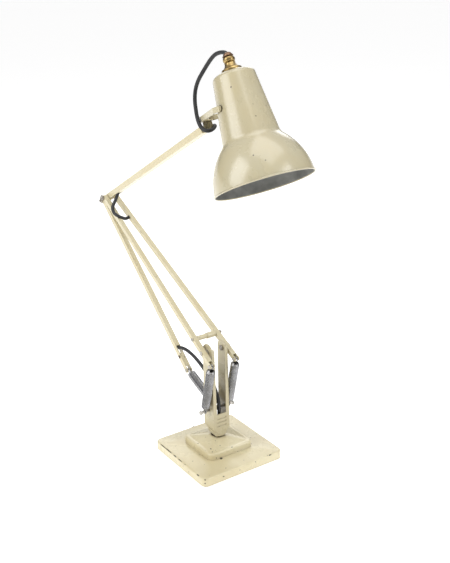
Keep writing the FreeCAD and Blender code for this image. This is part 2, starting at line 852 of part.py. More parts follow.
# Upper arm: one hollow bar, open underneath near the elbow
def make_upper_arm():
    round_end = S.upper_arm_height / 2
    front = S.upper_arm_length - S.upper_arm_short
    back = -S.tail_length
    points = [(back, -round_end), (front, -round_end), (front, round_end), (back, round_end)]
    blank = slab("arm_blank", "XZ_Plane", S.upper_arm_width, points, {3: round_end})
    inner_width = S.upper_arm_width - S.upper_arm_wall * 2
    inner_height = S.upper_arm_height - S.upper_arm_wall * 2
    start = back - S.upper_arm_height
    whole = front - start + S.upper_arm_height
    bore = box("arm_bore", whole, inner_width, inner_height, start, 0, -inner_height / 2)
    slot_length = S.underside_slot - start
    slot = box("arm_slot", slot_length, inner_width, S.upper_arm_height, start, 0, -S.upper_arm_height)
    through = S.upper_arm_width * 2
    fit = S.bearing_clearance * 2
    elbow = cross_cylinder("arm_elbow_hole", S.elbow_bolt_diameter + fit, through)
    tail = cross_cylinder("arm_tail_hole", S.tail_bolt_diameter + fit, through, back)
    side_hole = cylinder(
        "arm_cord_hole",
        S.cord_diameter + S.cord_slack * 2,
        S.upper_arm_width,
        S.upper_arm_length - S.cord_hole_back,
        0,
        0,
        "Y",
    )
    arm = cut("upper_arm_cut", blank, bore, slot, elbow, tail, side_hole)
    node("upper_arm", arm, UPPER_FRAME)

    reach = S.upper_arm_width / 2 + S.side_gap
    bolt = pin_with_heads(
        "tail_bolt_pin",
        S.tail_bolt_diameter,
        S.tail_bolt_head,
        reach,
        TAIL_X,
        TAIL_Z,
        S.bolt_head_height * 0.8,
    )
    node("tail_bolt", bolt)


# Tie bar: a channel that carries the pull of the middle spring to the upper arm's tail
def make_tie_bar():
    half = S.tie_bar_height / 2
    small = S.tie_bar_end_radius
    length = S.tie_bar_length
    taper = S.tie_bar_height + 3
    points = [(0, -small), (taper, -half), (length, -half), (length, half), (taper, half), (0, small)]
    blank = slab("tie_blank", "XZ_Plane", S.tie_bar_width, points, {2: half, 5: small})
    inner = S.tie_bar_width - S.tie_bar_wall * 2
    trough = box("tie_trough", length, inner, S.tie_bar_height, taper - 4, 0, -half - S.tie_bar_wall)
    cord_exit = box(
        "tie_cord_exit",
        S.cord_exit_length,
        S.cord_diameter + S.cord_slack / 2,
        S.tie_bar_height,
        S.cord_exit_reach,
        0,
        as_size(0),
    )
    end_slot = box(
        "tie_end_slot",
        S.tie_bar_height * 2,
        inner,
        S.tie_bar_height * 2,
        length - S.hook_radius - S.spring_wire * 1.5,
        0,
        -S.tie_bar_height,
    )
    tail = cross_cylinder("tie_tail_hole", S.tail_bolt_diameter + S.bearing_clearance * 2, inner * 3)
    hook = cross_cylinder("tie_hook_hole", S.hook_pin_diameter, inner * 3, length)
    rivet_x = length - S.rivet_back
    rivet_hole = cross_cylinder("tie_rivet_hole", S.rivet_diameter / 2, inner * 3, rivet_x)
    bar = cut("tie_bar_cut", blank, trough, cord_exit, end_slot, tail, hook, rivet_hole)
    node("tie_bar", bar, TIE_FRAME)

    reach = S.tie_bar_width / 2 + 0.1
    head = S.hook_pin_diameter + 2.4
    pin = pin_with_heads(
        "hook_pin_joined", S.hook_pin_diameter, head, reach, length, as_size(0), S.pin_head_height
    )
    node("hook_pin", pin, TIE_FRAME)
    rivet = pin_with_heads(
        "rivet_joined", S.rivet_diameter / 2, S.rivet_diameter, reach, rivet_x, as_size(0), S.tie_bar_wall
    )
    node("tie_bar_rivet", rivet, TIE_FRAME)


# Extension springs: a coil with a necked end at each hook, drawn as its outer shape
def coil_body(name, start, end, neck_start, neck_end):
    """A hollow coil along Z. It is drawn in to the wire where a hook leaves it."""
    outer = S.spring_diameter.value / 2
    wire = S.spring_wire.value
    shoulder = wire * 2.2
    inner = outer - wire
    outside = []
    inside = []
    if neck_start:
        outside += [(wire / 2, start), (outer * 0.62, start + wire * 0.7), (outer, start + shoulder)]
        inside += [(wire / 2, start + wire), (inner, start + shoulder + wire * 0.4)]
    else:
        outside += [(outer, start)]
        inside += [(inner, start)]
    if neck_end:
        outside += [(outer, end - shoulder), (outer * 0.62, end - wire * 0.7), (wire / 2, end)]
        inside += [(inner, end - shoulder - wire * 0.4), (wire / 2, end - wire)]
    else:
        outside += [(outer, end)]
        inside += [(inner, end)]
    return turned(name, outside + inside[::-1])


def hook(name, pin_diameter):
    """A ring that hangs on the pin, with its shank along Z up to the coil."""
    slack = S.hook_radius - S.spring_wire / 2 - pin_diameter / 2 - S.bearing_clearance
    shank_start = slack + S.hook_radius
    shank_end = S.hook_reach + S.spring_wire / 2
    ring_shape = doc.addObject("Part::Torus", name + "_ring")
    bind(ring_shape, "Radius1", S.hook_radius)
    bind(ring_shape, "Radius2", S.spring_wire / 2)
    put(ring_shape, 0, 0, slack, ALONG["Y"])
    shank = cylinder(name + "_shank", S.spring_wire, shank_end - shank_start, 0, 0, shank_start)
    return join(name, ring_shape, shank)


def spring_line(low_x, low_z, high_x, high_z, y):
    """A placement at the low pin, with Z towards the high pin."""
    low = Vector(low_x.value, y, low_z.value)
    along = Vector(high_x.value, y, high_z.value) - low
    return Placement(low, Rotation(Vector(0, 0, 1), along)), along.Length


def flipped(placement, length):
    """The same line read from its other end."""
    far = placement.multVec(Vector(0, 0, length))
    turn = placement.Rotation.multiply(Rotation(Vector(0, 1, 0), 180))
    return Placement(far, turn)


def make_side_springs():
    reach = S.hook_reach.value
    low_hooks = []
    high_hooks = []
    for side in (-1, 1):
        tag = "front" if side < 0 else "rear"
        y = bar_offset(-S.spring_arm_length).value * side
        placement, length = spring_line(as_size(0), S.anchor_height, SPRING_PIN_X, SPRING_PIN_Z, y)
        coil = coil_body(f"spring_coil_{tag}", reach, length - reach, True, True)
        node(f"spring_{tag}", coil, placement)
        low = hook(f"low_hook_{tag}", S.anchor_pin_diameter)
        low.Placement = placement
        low_hooks.append(low)
        high = hook(f"high_hook_{tag}", S.tail_pin_diameter)
        high.Placement = flipped(placement, length)
        high_hooks.append(high)
    node("spring_lower_hooks", join("low_hooks", *low_hooks))
    node("spring_upper_hooks", join("high_hooks", *high_hooks))


def make_middle_spring():
    reach = S.hook_reach.value
    placement, length = spring_line(as_size(0), S.anchor_height, HOOK_X, HOOK_Z, 0)
    waist = reach + (length - reach * 2) * (1 - S.waist_share.value)
    lower = coil_body("middle_coil_low", reach, waist, True, False)
    node("middle_spring_lower", lower, placement)
    upper = coil_body("middle_coil_high", waist, length - reach, False, True)
    node("middle_spring_upper", upper, placement)
    low_hook = hook("middle_low_hook", S.anchor_pin_diameter)
    node("middle_lower_hook", low_hook, placement)
    high_hook = hook("middle_high_hook", S.hook_pin_diameter)
    node("middle_upper_hook", high_hook, flipped(placement, length))


# Knuckle at the arm's end, and the strap yoke that turns on it
def make_knuckle():
    top = -(S.strap_height / 2) - S.side_gap
    bottom = top - S.knuckle_height
    outer = S.knuckle_diameter / 2
    bore = S.swivel_screw_diameter / 2
    nose = top - S.knuckle_height / 2
    barrel = turned(
        "knuckle_barrel",
        [(bore, bottom), (outer - 1, bottom), (outer, bottom + 1), (outer, top - 1), (outer - 1, top), (bore, top)],
    )
    flutes = []
    for i in range(16):
        turn = math.radians(360 / 16 * (i + 0.5))
        flute = cylinder(
            f"knuckle_flute_{i}",
            1.3,
            S.knuckle_height * 2,
            outer * math.cos(turn),
            outer * math.sin(turn),
            bottom - S.knuckle_height / 2,
        )
        flutes.append(flute)
    ribbed = cut("knuckle_ribbed", barrel, *flutes)
    ribbed.Placement = YOKE_FRAME
    fit = 0.1
    width = S.upper_arm_width - S.upper_arm_wall * 2 - fit
    height = S.upper_arm_height - S.upper_arm_wall * 2 - fit
    tube_end = S.upper_arm_length - S.upper_arm_short
    plug_length = S.knuckle_diameter
    plug = box("knuckle_plug", plug_length, width, height, tube_end - plug_length + 4, 0, -height / 2)
    bridge = box(
        "knuckle_bridge", S.upper_arm_short - 1, width, height * 0.8, tube_end, 0, -height / 2
    )
    stem = join("knuckle_stem", plug, bridge)
    stem.Placement = UPPER_FRAME
    screw_space = cylinder("knuckle_screw_space", S.swivel_screw_diameter, S.knuckle_height * 3)
    screw_space.Placement = YOKE_FRAME.multiply(Placement(Vector(0, 0, bottom.value), Rotation()))
    node("arm_end_knuckle", cut("knuckle_cut", join("knuckle_joined", ribbed, stem), screw_space))

    head = S.swivel_head_diameter / 2
    plate_top = -(S.strap_height / 2) + S.yoke_plate
    head_bottom = plate_top + S.side_gap
    head_top = head_bottom + S.bolt_head_height * 0.8
    tip = top - S.knuckle_height * 0.8
    screw = turned(
        "swivel_screw_body",
        [(0, tip), (bore, tip), (bore, head_bottom), (head, head_bottom), (head * 0.75, head_top), (0, head_top)],
    )
    node("swivel_screw", screw, YOKE_FRAME)


def strap_outline(bend, ear):
    """Half of the strap's edge in plan, from the bend's back to the ear."""
    straight = S.yoke_reach - S.yoke_ear_length
    return [(0, bend), (straight, ear), (S.yoke_reach + S.strap_height / 2, ear)]


def make_yoke():
    outer_ear = SHADE_SIDE + S.pivot_washer + S.strap_thickness
    inner_ear = outer_ear - S.strap_thickness
    outer_bend = S.yoke_bend_radius
    inner_bend = S.yoke_bend_radius - S.strap_thickness
    outer = strap_outline(outer_bend, outer_ear)
    inner = strap_outline(inner_bend, inner_ear)
    mirrored_outer = [(x, -y) for x, y in outer]
    mirrored_inner = [(x, -y) for x, y in inner]
    points = mirrored_outer[::-1] + outer + inner[::-1] + mirrored_inner
    arcs = {2: -S.yoke_bend_radius, 8: inner_bend}
    strap = slab("yoke_strap", "XY_Plane", S.strap_height, points, arcs)
    # Round ears, seen from the side
    half = S.strap_height / 2
    back = -S.yoke_bend_radius * 2
    side = [(back, -half), (S.yoke_reach, -half), (S.yoke_reach, half), (back, half)]
    ears = slab("yoke_side", "XZ_Plane", S.yoke_reach * 2, side, {1: half})
    trimmed = common("yoke_trimmed", strap, ears)
    plate_radius = S.yoke_bend_radius - S.strap_thickness / 2
    plate = cylinder("yoke_plate_disc", plate_radius * 2, S.yoke_plate, 0, 0, -half)
    fit = S.bearing_clearance * 2
    swivel = cylinder("yoke_swivel_hole", S.swivel_screw_diameter + fit, S.strap_height * 2, 0, 0, -S.strap_height)
    screws = cross_cylinder("yoke_screw_hole", S.shade_screw_diameter + fit, outer_ear * 3, S.yoke_reach)
    yoke = cut("yoke_cut", join("yoke_joined", trimmed, plate), swivel, screws)
    node("yoke", yoke, YOKE_FRAME)


# Shade: a tapered can on a round bell, turned from one sheet
def shade_radius(height):
    """The can's outer radius at a height above the rim."""
    share = (height - S.waist_height) / (S.can_height - S.waist_height)
    return S.waist_radius + (S.can_radius - S.waist_radius) * share


SHADE_SIDE = shade_radius(S.shade_pivot_above_rim) + 0.7


def make_shade():
    wall = S.shade_wall
    rim = S.rim_radius
    bead = S.bead_size
    top = SHADE_TOP
    outside = [
        (rim, bead * 1.6),
        (S.bell_neck_radius, S.bell_height),
        (S.waist_radius, S.waist_height),
        (S.can_radius, S.can_height),
        (S.can_top_radius, top),
        (S.entry_radius, top),
    ]
    inside = [
        (S.entry_radius, top - wall),
        (S.can_top_radius, top - wall),
        (S.can_radius - wall, S.can_height),
        (S.waist_radius - wall, S.waist_height),
        (S.bell_neck_radius - wall, S.bell_height),
        (rim - wall, bead * 1.6),
        (rim - wall, 0),
        (rim + bead, 0),
        (rim + bead, bead),
    ]
    shoulder = top - S.can_height
    arcs = {
        0: S.bell_radius,
        3: shoulder,
        7: -(shoulder - wall * 0.5),
        10: -(S.bell_radius - wall),
    }
    shell = turned("shade_shell", outside + inside, arcs)
    holes = cross_cylinder(
        "shade_pivot_holes", S.shade_screw_diameter, S.rim_radius * 3, 0, S.shade_pivot_above_rim
    )
    node("shade", cut("shade_cut", shell, holes), SHADE_FRAME)


def make_shade_screws():
    inside = shade_radius(S.shade_pivot_above_rim) - S.shade_wall - 1.2
    ear = SHADE_SIDE + S.pivot_washer + S.strap_thickness
    height = S.shade_pivot_above_rim
    screws = []
    washers = []
    for side in (-1, 1):
        tag = "front" if side < 0 else "rear"
        nut_middle = (inside - 1.5) * side
        nut = cross_cylinder(f"shade_nut_{tag}", S.small_head_diameter, 3, 0, height, nut_middle)
        length = ear - inside + 2 + S.side_gap
        middle = (ear + S.side_gap + inside - 2) / 2 * side
        shank = cross_cylinder(f"shade_shank_{tag}", S.shade_screw_diameter, length, 0, height, middle)
        head_middle = (ear + S.side_gap + S.shade_head_height / 2) * side
        head = cross_cylinder(
            f"shade_head_{tag}", S.shade_head_diameter, S.shade_head_height, 0, height, head_middle
        )
        screws.append(join(f"shade_screw_{tag}", nut, shank, head))
        washer_middle = (SHADE_SIDE + S.pivot_washer / 2 - S.side_gap / 2) * side
        blank = cross_cylinder(
            f"shade_washer_blank_{tag}",
            S.pivot_washer_diameter,
            S.pivot_washer,
            0,
            height,
            washer_middle,
        )
        hole = cross_cylinder(f"shade_washer_hole_{tag}", S.shade_screw_diameter, ear * 3, 0, height)
        washers.append(cut(f"shade_washer_{tag}", blank, hole))
    node("shade_screws", join("shade_screws_pair", *screws), SHADE_FRAME)
    node("shade_washers", join("shade_washers_pair", *washers), SHADE_FRAME)


# Bayonet lampholder: brass cap outside the shade, holder, ring and contacts inside
def make_lampholder():
    top = SHADE_TOP
    bore = S.cord_diameter / 2 + S.cord_slack
    waist_height = top + S.cap_skirt_height
    cap_top = top + S.cap_height
    profile = [
        (bore, top),
        (S.cap_radius, top),
        (S.cap_radius, top + S.cap_rim),
        (S.cap_waist_radius, waist_height),
        (S.cap_waist_radius, waist_height + 1),
        (S.cap_waist_radius, cap_top - 0.6),
        (S.cap_waist_radius, cap_top),
        (bore, cap_top),
    ]
    cap = turned("cap_body", profile, {2: -(S.cap_radius * 3), 4: S.cap_ball_round})
    node("lampholder_cap", cap, SHADE_FRAME)

    grip_top = cap_top + S.grip_height
    mouth = bore + S.grip_mouth
    grip = [(bore, cap_top), (S.grip_radius - 0.5, cap_top), (S.grip_radius, cap_top + 1.5)]
    grip += [(mouth + 0.5, grip_top), (mouth, grip_top), (bore, cap_top + S.grip_height / 2)]
    node("cord_grip", turned("cord_grip_body", grip, {2: S.grip_radius}), SHADE_FRAME)

    holder_mouth = top - S.holder_length
    outer = S.holder_radius
    inner = S.holder_radius - S.holder_wall
    shelf = holder_mouth + S.bulb_depth
    seat = inner - 1.2
    holder = [
        (inner, holder_mouth),
        (outer + 0.9, holder_mouth),
        (outer + 0.9, holder_mouth + 2),
        (outer, holder_mouth + 2.6),
        (outer, top),
        (bore, top),
        (bore, top - 2.5),
        (seat, top - 2.5),
        (seat, shelf),
        (inner, shelf),
    ]
    slot = S.bayonet_slot
    bayonet = []
    for side in (-1, 1):
        way_in = box(f"bayonet_way_{side + 1}", outer * 2, slot, S.bayonet_depth, 0, 0, holder_mouth - 1)
        bind(way_in, "Length", outer + 1.2)
        if side < 0:
            put(way_in, -(outer + 1.2), -(slot / 2), holder_mouth - 1)
        bayonet.append(way_in)
        # Each way in turns aside at its end, in the same direction round the holder.
        leg = box(f"bayonet_leg_{side + 1}", outer, slot * 2, slot, 0, 0, holder_mouth - 1 + S.bayonet_depth - slot)
        low_x = -(outer + 1.2) if side < 0 else inner * 0.7
        bind(leg, "Length", outer + 1.2 - inner * 0.7)
        put(leg, low_x, slot * side - slot, holder_mouth - 1 + S.bayonet_depth - slot)
        bayonet.append(leg)
    holder_body = cut("holder_cut", turned("holder_body", holder), *bayonet)
    node("lampholder_body", holder_body, SHADE_FRAME)

    pitch = S.contact_spacing
    block = cylinder("contact_block_blank", seat * 2 - 0.2, 12, 0, 0, shelf)
    slots = [
        cylinder(f"contact_slot_{side + 1}", S.contact_radius * 2 + 0.4, 16, 0, pitch * side / 2, shelf - 1)
        for side in (-1, 1)
    ]
    node("contact_block", cut("contact_block_cut", block, *slots), SHADE_FRAME)
    plungers = [
        cylinder(f"plunger_{side + 1}", S.contact_radius * 2, 11.5, 0, pitch * side / 2, shelf + 0.1)
        for side in (-1, 1)
    ]
    node("contact_plungers", join("plungers", *plungers), SHADE_FRAME)

    ring_top = top - S.shade_wall
    ring_profile = ring(outer, S.ring_radius, ring_top - S.ring_thickness, ring_top)
    node("shade_ring", turned("shade_ring_body", ring_profile), SHADE_FRAME)


# Cords: straight runs joined by arcs that are tangent to both
def cord(name, route, diameter):
    points = [Vector(*p) for p in route]
    edges = []
    radii = []
    here = points[0]
    for i in range(1, len(points) - 1):
        back = points[i - 1] - points[i]
        ahead = points[i + 1] - points[i]
        half_turn = (math.pi - back.getAngle(ahead)) / 2
        reach = 0.45 * min(back.Length, ahead.Length)
        radii.append(reach / math.tan(half_turn))
        begin = points[i] + back.normalize() * reach
        finish = points[i] + ahead.normalize() * reach
        bisector = (back + ahead).normalize()
        centre = points[i] + bisector * (radii[-1] / math.cos(half_turn))
        top = centre - bisector * radii[-1]
        edges.append(Part.LineSegment(here, begin).toShape())
        edges.append(Part.Arc(begin, top, finish).toShape())
        here = finish
    edges.append(Part.LineSegment(here, points[-1]).toShape())
    path = Part.Wire(edges)
    direction = (points[1] - points[0]).normalize()
    circle = Part.Wire([Part.Circle(points[0], direction, diameter / 2).toShape()])
    tube = path.makePipeShell([circle], True, False)
    expected = math.pi * diameter**2 / 4 * path.Length
    smallest = min(radii) if radii else 0
    print(f"{name}: length {path.Length:.0f}, smallest radius {smallest:.0f}, volume {tube.Volume / expected:.3f}")
    return shape_node(name, tube)


ARM_AXIS = UPPER_FRAME.Rotation.multVec(Vector(1, 0, 0))
ARM_UP = UPPER_FRAME.Rotation.multVec(Vector(0, 0, 1))
ELBOW = Vector(ELBOW_X.value, 0, ELBOW_Z.value)
CAP_MOUTH = SHADE_TOP + S.cap_height
CORD_START = SHADE_FRAME.multVec(Vector(0, 0, CAP_MOUTH.value + S.cord_slack.value))
CAP_TOP = SHADE_FRAME.multVec(Vector(0, 0, (CAP_MOUTH + S.grip_height + S.cord_slack * 2).value))
ENTRY_Y = bar_offset(S.cord_entry_reach) - S.bar_width / 2 + S.bar_wall
CORD_ENTRY = Vector(ENTRY_X.value, ENTRY_Y.value, ENTRY_Z.value)
ARM_ENTRY = ELBOW + ARM_AXIS * (S.upper_arm_length.value - S.cord_hole_back.value)

HEAD_ROUTE = [
    (CORD_START.x, 0.0, CORD_START.z),
    (CAP_TOP.x, 0.0, CAP_TOP.z),
    (44.5, -0.2, 657.0),
    (34.8, -0.3, 655.4),
    (24.2, -0.6, 650.8),
    (15.0, -1.4, 643.8),
    (5.6, -2.6, 634.2),
    (-3.2, -4.5, 623.6),
    (-11.8, -6.2, 612.9),
    (-16.8, -8.0, 601.2),
    (-17.6, -9.5, 590.8),
    (-15.6, -11.0, 580.5),
    (-12.2, -12.0, 571.0),
    (-8.2, -13.0, 561.0),
    (-2.6, -13.5, 552.0),
    (5.1, -13.5, 545.8),
    (12.5, -11.5, 543.6),
    (15.8, -6.5, 543.7),
    (15.0, -0.5, 545.5),
    (10.4, 5.5, 547.5),
    (3.5, 10.2, 547.5),
    (-5.5, 12.8, 545.0),
    (-14.5, 13.8, 540.8),
    (-22.9, 12.0, 535.2),
    (ARM_ENTRY.x, 3.2, ARM_ENTRY.z),
]
SLOT_EXIT = ELBOW + ARM_AXIS * 50.0
SLOT_TURN = ELBOW + ARM_AXIS * 37.5
ELBOW_ROUTE = [
    tuple(SLOT_EXIT),
    tuple(SLOT_TURN),
    (-300.1, -1.5, 373.2),
    (-304.6, -7.0, 366.2),
    (-301.9, -12.5, 360.8),
    (-294.4, -13.5, 356.8),
    (-287.2, -9.5, 353.2),
    (-283.0, -3.0, 348.4),
    (-282.8, 4.0, 342.6),
    tuple(CORD_ENTRY),
]
ARM_CORD_ROUTE = [tuple(SLOT_EXIT), tuple(ARM_ENTRY - ARM_AXIS * 2.6)]
TIE_CORD_START = TIE_FRAME.multVec(Vector(14, 0, 0))
TIE_CORD_END = TIE_FRAME.multVec(Vector((S.cord_exit_reach - S.cord_exit_lead).value, 0, 0))
TIE_TURN = TIE_FRAME.multVec(Vector((S.cord_exit_reach + S.cord_exit_turn).value, 0, 0))
LOWER_ROUTE = [
    tuple(TIE_CORD_END),
    tuple(TIE_TURN),
    (-106.8, 0.2, 153.8),
    (-90.0, 0.4, 155.8),
    (-70.0, 0.6, 153.4),
    (-51.0, 0.6, 147.6),
    (-33.0, 0.5, 139.6),
    (-16.0, 0.3, 130.0),
    (-3.0, 0.0, 118.5),
    (4.8, -0.3, 105.0),
    (7.6, -0.5, 90.5),
    (6.8, -0.4, 76.5),
    (3.4, -0.2, 64.0),
    (0.0, 0.0, 52.5),
    (0.0, 0.0, 43.0),
]


def make_cords():
    cord("head_cord", HEAD_ROUTE, S.cord_diameter.value)
    cord("elbow_cord", ELBOW_ROUTE, S.cord_diameter.value)
    cord("arm_cord", ARM_CORD_ROUTE, S.cord_diameter.value)
    cord("tie_bar_cord", [tuple(TIE_CORD_START), tuple(TIE_CORD_END)], S.cord_diameter.value)
    cord("lower_cord", LOWER_ROUTE, S.cord_diameter.value)


make_base()
make_swivel()
make_fork()
make_fork_fasteners()
make_lower_arm()
make_upper_arm()
make_tie_bar()
make_side_springs()
make_middle_spring()
make_knuckle()
make_yoke()
make_shade()
make_shade_screws()
make_lampholder()
make_cords()
doc.recompute()

failed = [o.Name for o in doc.Objects if "Invalid" in o.State or "Error" in o.State]
for name, thing in NODES.items():
    if thing.Shape.isNull() or not thing.Shape.isValid() or thing.Shape.Volume < 1:
        failed.append(name)
if failed:
    raise RuntimeError("these did not build: " + ", ".join(failed))
for name, thing in NODES.items():
    thing.Shape.exportStep(f"parts/{name}.step")
print(len(NODES), "nodes written")
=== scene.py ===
# %% [markdown]
# # A balanced-arm desk lamp
# The solids of the lamp are already made, at their real size. This lesson dresses them: it sets up a camera
# and a studio, lays the cords, mixes the finishes, and models the pieces whose shape carries the look, such
# as the turned shade, the wound springs and the brass cap. We begin by loading the solids as a fixed frame.

# %% Load the frame
import json
import math

import bmesh
import bpy
from mathutils import Matrix, Vector


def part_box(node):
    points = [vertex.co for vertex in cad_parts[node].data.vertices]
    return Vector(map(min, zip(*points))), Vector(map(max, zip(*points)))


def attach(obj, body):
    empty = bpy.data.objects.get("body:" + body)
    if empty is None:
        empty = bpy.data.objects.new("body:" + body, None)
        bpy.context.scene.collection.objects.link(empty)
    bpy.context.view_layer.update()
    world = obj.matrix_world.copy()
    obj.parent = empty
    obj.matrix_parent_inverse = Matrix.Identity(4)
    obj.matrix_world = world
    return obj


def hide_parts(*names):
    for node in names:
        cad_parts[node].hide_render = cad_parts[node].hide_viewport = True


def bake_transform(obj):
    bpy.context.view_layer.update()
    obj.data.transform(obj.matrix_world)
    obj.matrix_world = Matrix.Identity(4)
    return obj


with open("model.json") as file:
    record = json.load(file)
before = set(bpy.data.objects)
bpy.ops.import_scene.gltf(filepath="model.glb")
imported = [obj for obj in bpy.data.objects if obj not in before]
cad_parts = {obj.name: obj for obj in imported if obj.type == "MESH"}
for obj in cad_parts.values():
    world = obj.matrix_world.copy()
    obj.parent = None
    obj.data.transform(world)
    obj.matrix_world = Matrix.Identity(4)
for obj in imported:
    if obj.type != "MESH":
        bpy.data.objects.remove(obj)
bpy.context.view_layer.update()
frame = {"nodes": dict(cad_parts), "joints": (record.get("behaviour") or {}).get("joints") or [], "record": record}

MM = 0.001
nodes = frame["nodes"]
joints = {joint["name"]: joint for joint in frame["joints"]}
mounts = {mount["name"]: mount for mount in frame["record"]["mounts"]}
print(len(nodes), "nodes loaded")

# %% [markdown]
# ## Where the pieces are
# Later cells need the same few places: the pivots and pins, and the frames of the shade and the yoke. The
# record gives each pivot, and the middle of a pin's box gives the rest, so no place is typed twice. A frame
# is a `Matrix`: a piece is made upright at the origin, and the matrix then sets it in its place.

# %% Pivots and frames
ACROSS = Vector((0, 1, 0))
PIVOT_ABOVE_RIM = 114 * MM


def place_of(joint_name):
    return Vector(joints[joint_name]["pos_m"])


def middle_of(node_name):
    low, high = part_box(node_name)
    return (low + high) / 2


def frame_at(origin, along):
    """A matrix whose Z runs along a direction and whose Y runs across the lamp."""
    z = along.normalized()
    x = ACROSS.cross(z).normalized()
    y = z.cross(x)
    return Matrix.Translation(origin) @ Matrix((x, y, z)).transposed().to_4x4()


fork_pivot = place_of("lower_pivot")
anchor = place_of("side_spring_swing")
spring_pin = middle_of("tail_pins")
hook_pin = middle_of("hook_pin")
shade_axis = -Vector(mounts["lamp_bore"]["axis"])
rim_centre = place_of("shade_tilt") - shade_axis * PIVOT_ABOVE_RIM
shade_frame = frame_at(rim_centre, shade_axis)
yoke_frame = frame_at(place_of("yoke_swivel"), Vector(joints["yoke_swivel"]["axis"]))
print("shade rim at", [round(v, 3) for v in rim_centre])

# %% [markdown]
# ## The camera
# The camera stands where the photographer stood, a little above the shade, in front of the lamp and off to
# one side. It turns about Z to face the lamp, then tips down, then rolls by a degree and a half because it
# was held slightly askew. A long lens keeps the lamp's lines nearly parallel, as they are in the
# photograph.

# %% Camera
CAMERA_PLACE = (1.1182, -0.7151, 0.8067)
CAMERA_TURN = math.radians(56.588)
CAMERA_DOWN = math.radians(20.713)
CAMERA_ROLL = math.radians(-1.540)
CAMERA_LENS = 58.60


def show(name, data):
    """Makes an object from a mesh, a curve, a camera or a light and puts it in the scene."""
    thing = bpy.data.objects.new(name, data)
    bpy.context.scene.collection.objects.link(thing)
    return thing


camera = show("camera", bpy.data.cameras.new("camera"))
camera.data.lens = CAMERA_LENS
turn = Matrix.Rotation(CAMERA_TURN, 4, "Z")
tip = Matrix.Rotation(math.pi / 2 - CAMERA_DOWN, 4, "X")
roll = Matrix.Rotation(CAMERA_ROLL, 4, "Z")
camera.matrix_world = Matrix.Translation(CAMERA_PLACE) @ turn @ tip @ roll
bpy.context.scene.camera = camera

# %% [markdown]
# ## The cords
# One black rubber flex feeds the lamp. It leaves the brass cap, hangs in a loop behind the shade and dives
# into the upper arm. It shows again at the elbow and below the tie bar, before it goes down into the fork.
# A cord follows a NURBS curve with few points, because a smooth pull between far points looks like real
# flex, while many close points look like bent wire.

# %% Cord routes, in millimetres
CORD_DIAMETER = 5.8 * MM
MEETING = (-17.2, -8.75, 596.0)
HEAD_ROUTE = [
    (57.17, 0.0, 649.79), (54.3, 0.0, 655.5), (44.5, -0.2, 656.0), (34.8, -0.3, 654.6), (24.2, -0.6, 650.8),
    (15.0, -1.4, 643.8), (5.6, -2.6, 634.2), (-3.2, -4.5, 623.6), (-11.8, -6.2, 612.9), (-16.8, -8.0, 601.2),
    MEETING,
]
NECK_ROUTE = [
    MEETING, (-17.6, -9.5, 590.8), (-15.6, -11.0, 580.5), (-12.2, -12.0, 571.0), (-8.2, -13.0, 561.0),
    (-2.6, -13.5, 552.0), (5.1, -13.5, 545.8), (12.5, -11.5, 543.6), (15.8, -6.5, 543.7), (15.0, -0.5, 545.5),
    (10.4, 5.5, 547.5), (3.5, 10.2, 547.5), (-5.5, 12.8, 545.0), (-14.5, 13.8, 540.8), (-22.9, 12.0, 535.2),
    (-23.96, 3.2, 533.45),
]
ELBOW_ROUTE = [
    (-291.35, 0.0, 393.08), (-302.42, 0.0, 387.26), (-302.4, -3.5, 375.3), (-301.7, -10.0, 366.0),
    (-299.6, -15.0, 359.4), (-290.5, -18.0, 352.5), (-280.5, -15.5, 348.5), (-278.0, -6.5, 343.5),
    (-279.5, 1.0, 340.0), (-283.04, 9.17, 341.58),
]
LOWER_ROUTE = [
    (-127.04, 0.0, 156.68), (-117.99, 0.0, 148.8), (-106.8, 0.2, 153.8), (-90.0, 0.4, 155.8),
    (-70.0, 0.6, 153.4), (-51.0, 0.6, 147.6), (-33.0, 0.5, 139.6), (-16.0, 0.3, 130.0), (-3.0, 0.0, 118.5),
    (4.8, -0.3, 105.0), (7.6, -0.5, 90.5), (6.8, -0.4, 76.5), (3.4, -0.2, 64.0), (0.0, 0.0, 52.5),
    (0.0, 0.0, 43.0),
]

# %% [markdown]
# Each curve becomes a mesh. The flex behind the shade hangs between three bodies, the arm, the yoke and the
# shade, so it is laid as two stretches. They meet close to the axis on which the yoke swivels, where the
# flex hardly moves.


# %% Lay the cords
def metres(place):
    return tuple(Vector(place) * MM)


def cord_tube(name, points):
    """A round cord as a mesh, and the points of its middle line, both read from one curve."""
    curve = bpy.data.curves.new(name, "CURVE")
    curve.dimensions = "3D"
    curve.bevel_resolution = 5
    curve.resolution_u = 10
    curve.use_fill_caps = True
    spline = curve.splines.new("NURBS")
    spline.points.add(len(points) - 1)
    for point, place in zip(spline.points, points):
        point.co = (*metres(place), 1)
    spline.order_u = 3
    spline.use_endpoint_u = True
    route = show(name + "_route", curve)
    line = bpy.data.meshes.new_from_object(route)
    middle_line = [vertex.co.copy() for vertex in line.vertices]
    curve.bevel_depth = CORD_DIAMETER / 2
    tube = show(name, bpy.data.meshes.new_from_object(route))
    bpy.data.objects.remove(route)
    bpy.data.meshes.remove(line)
    return tube, middle_line


def lay_cord(name, node, route):
    """Lays a stretch of cord in place of a node, which it hides."""
    tube, middle_line = cord_tube(name, route)
    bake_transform(tube)
    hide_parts(node)
    return tube


cords = [
    lay_cord("head_flex", "head_cord", HEAD_ROUTE),
    lay_cord(
        "neck_flex", "head_cord", NECK_ROUTE
    ),
    lay_cord(
        "elbow_flex", "elbow_cord", ELBOW_ROUTE
    ),
    lay_cord("lower_flex", "lower_cord", LOWER_ROUTE),
]

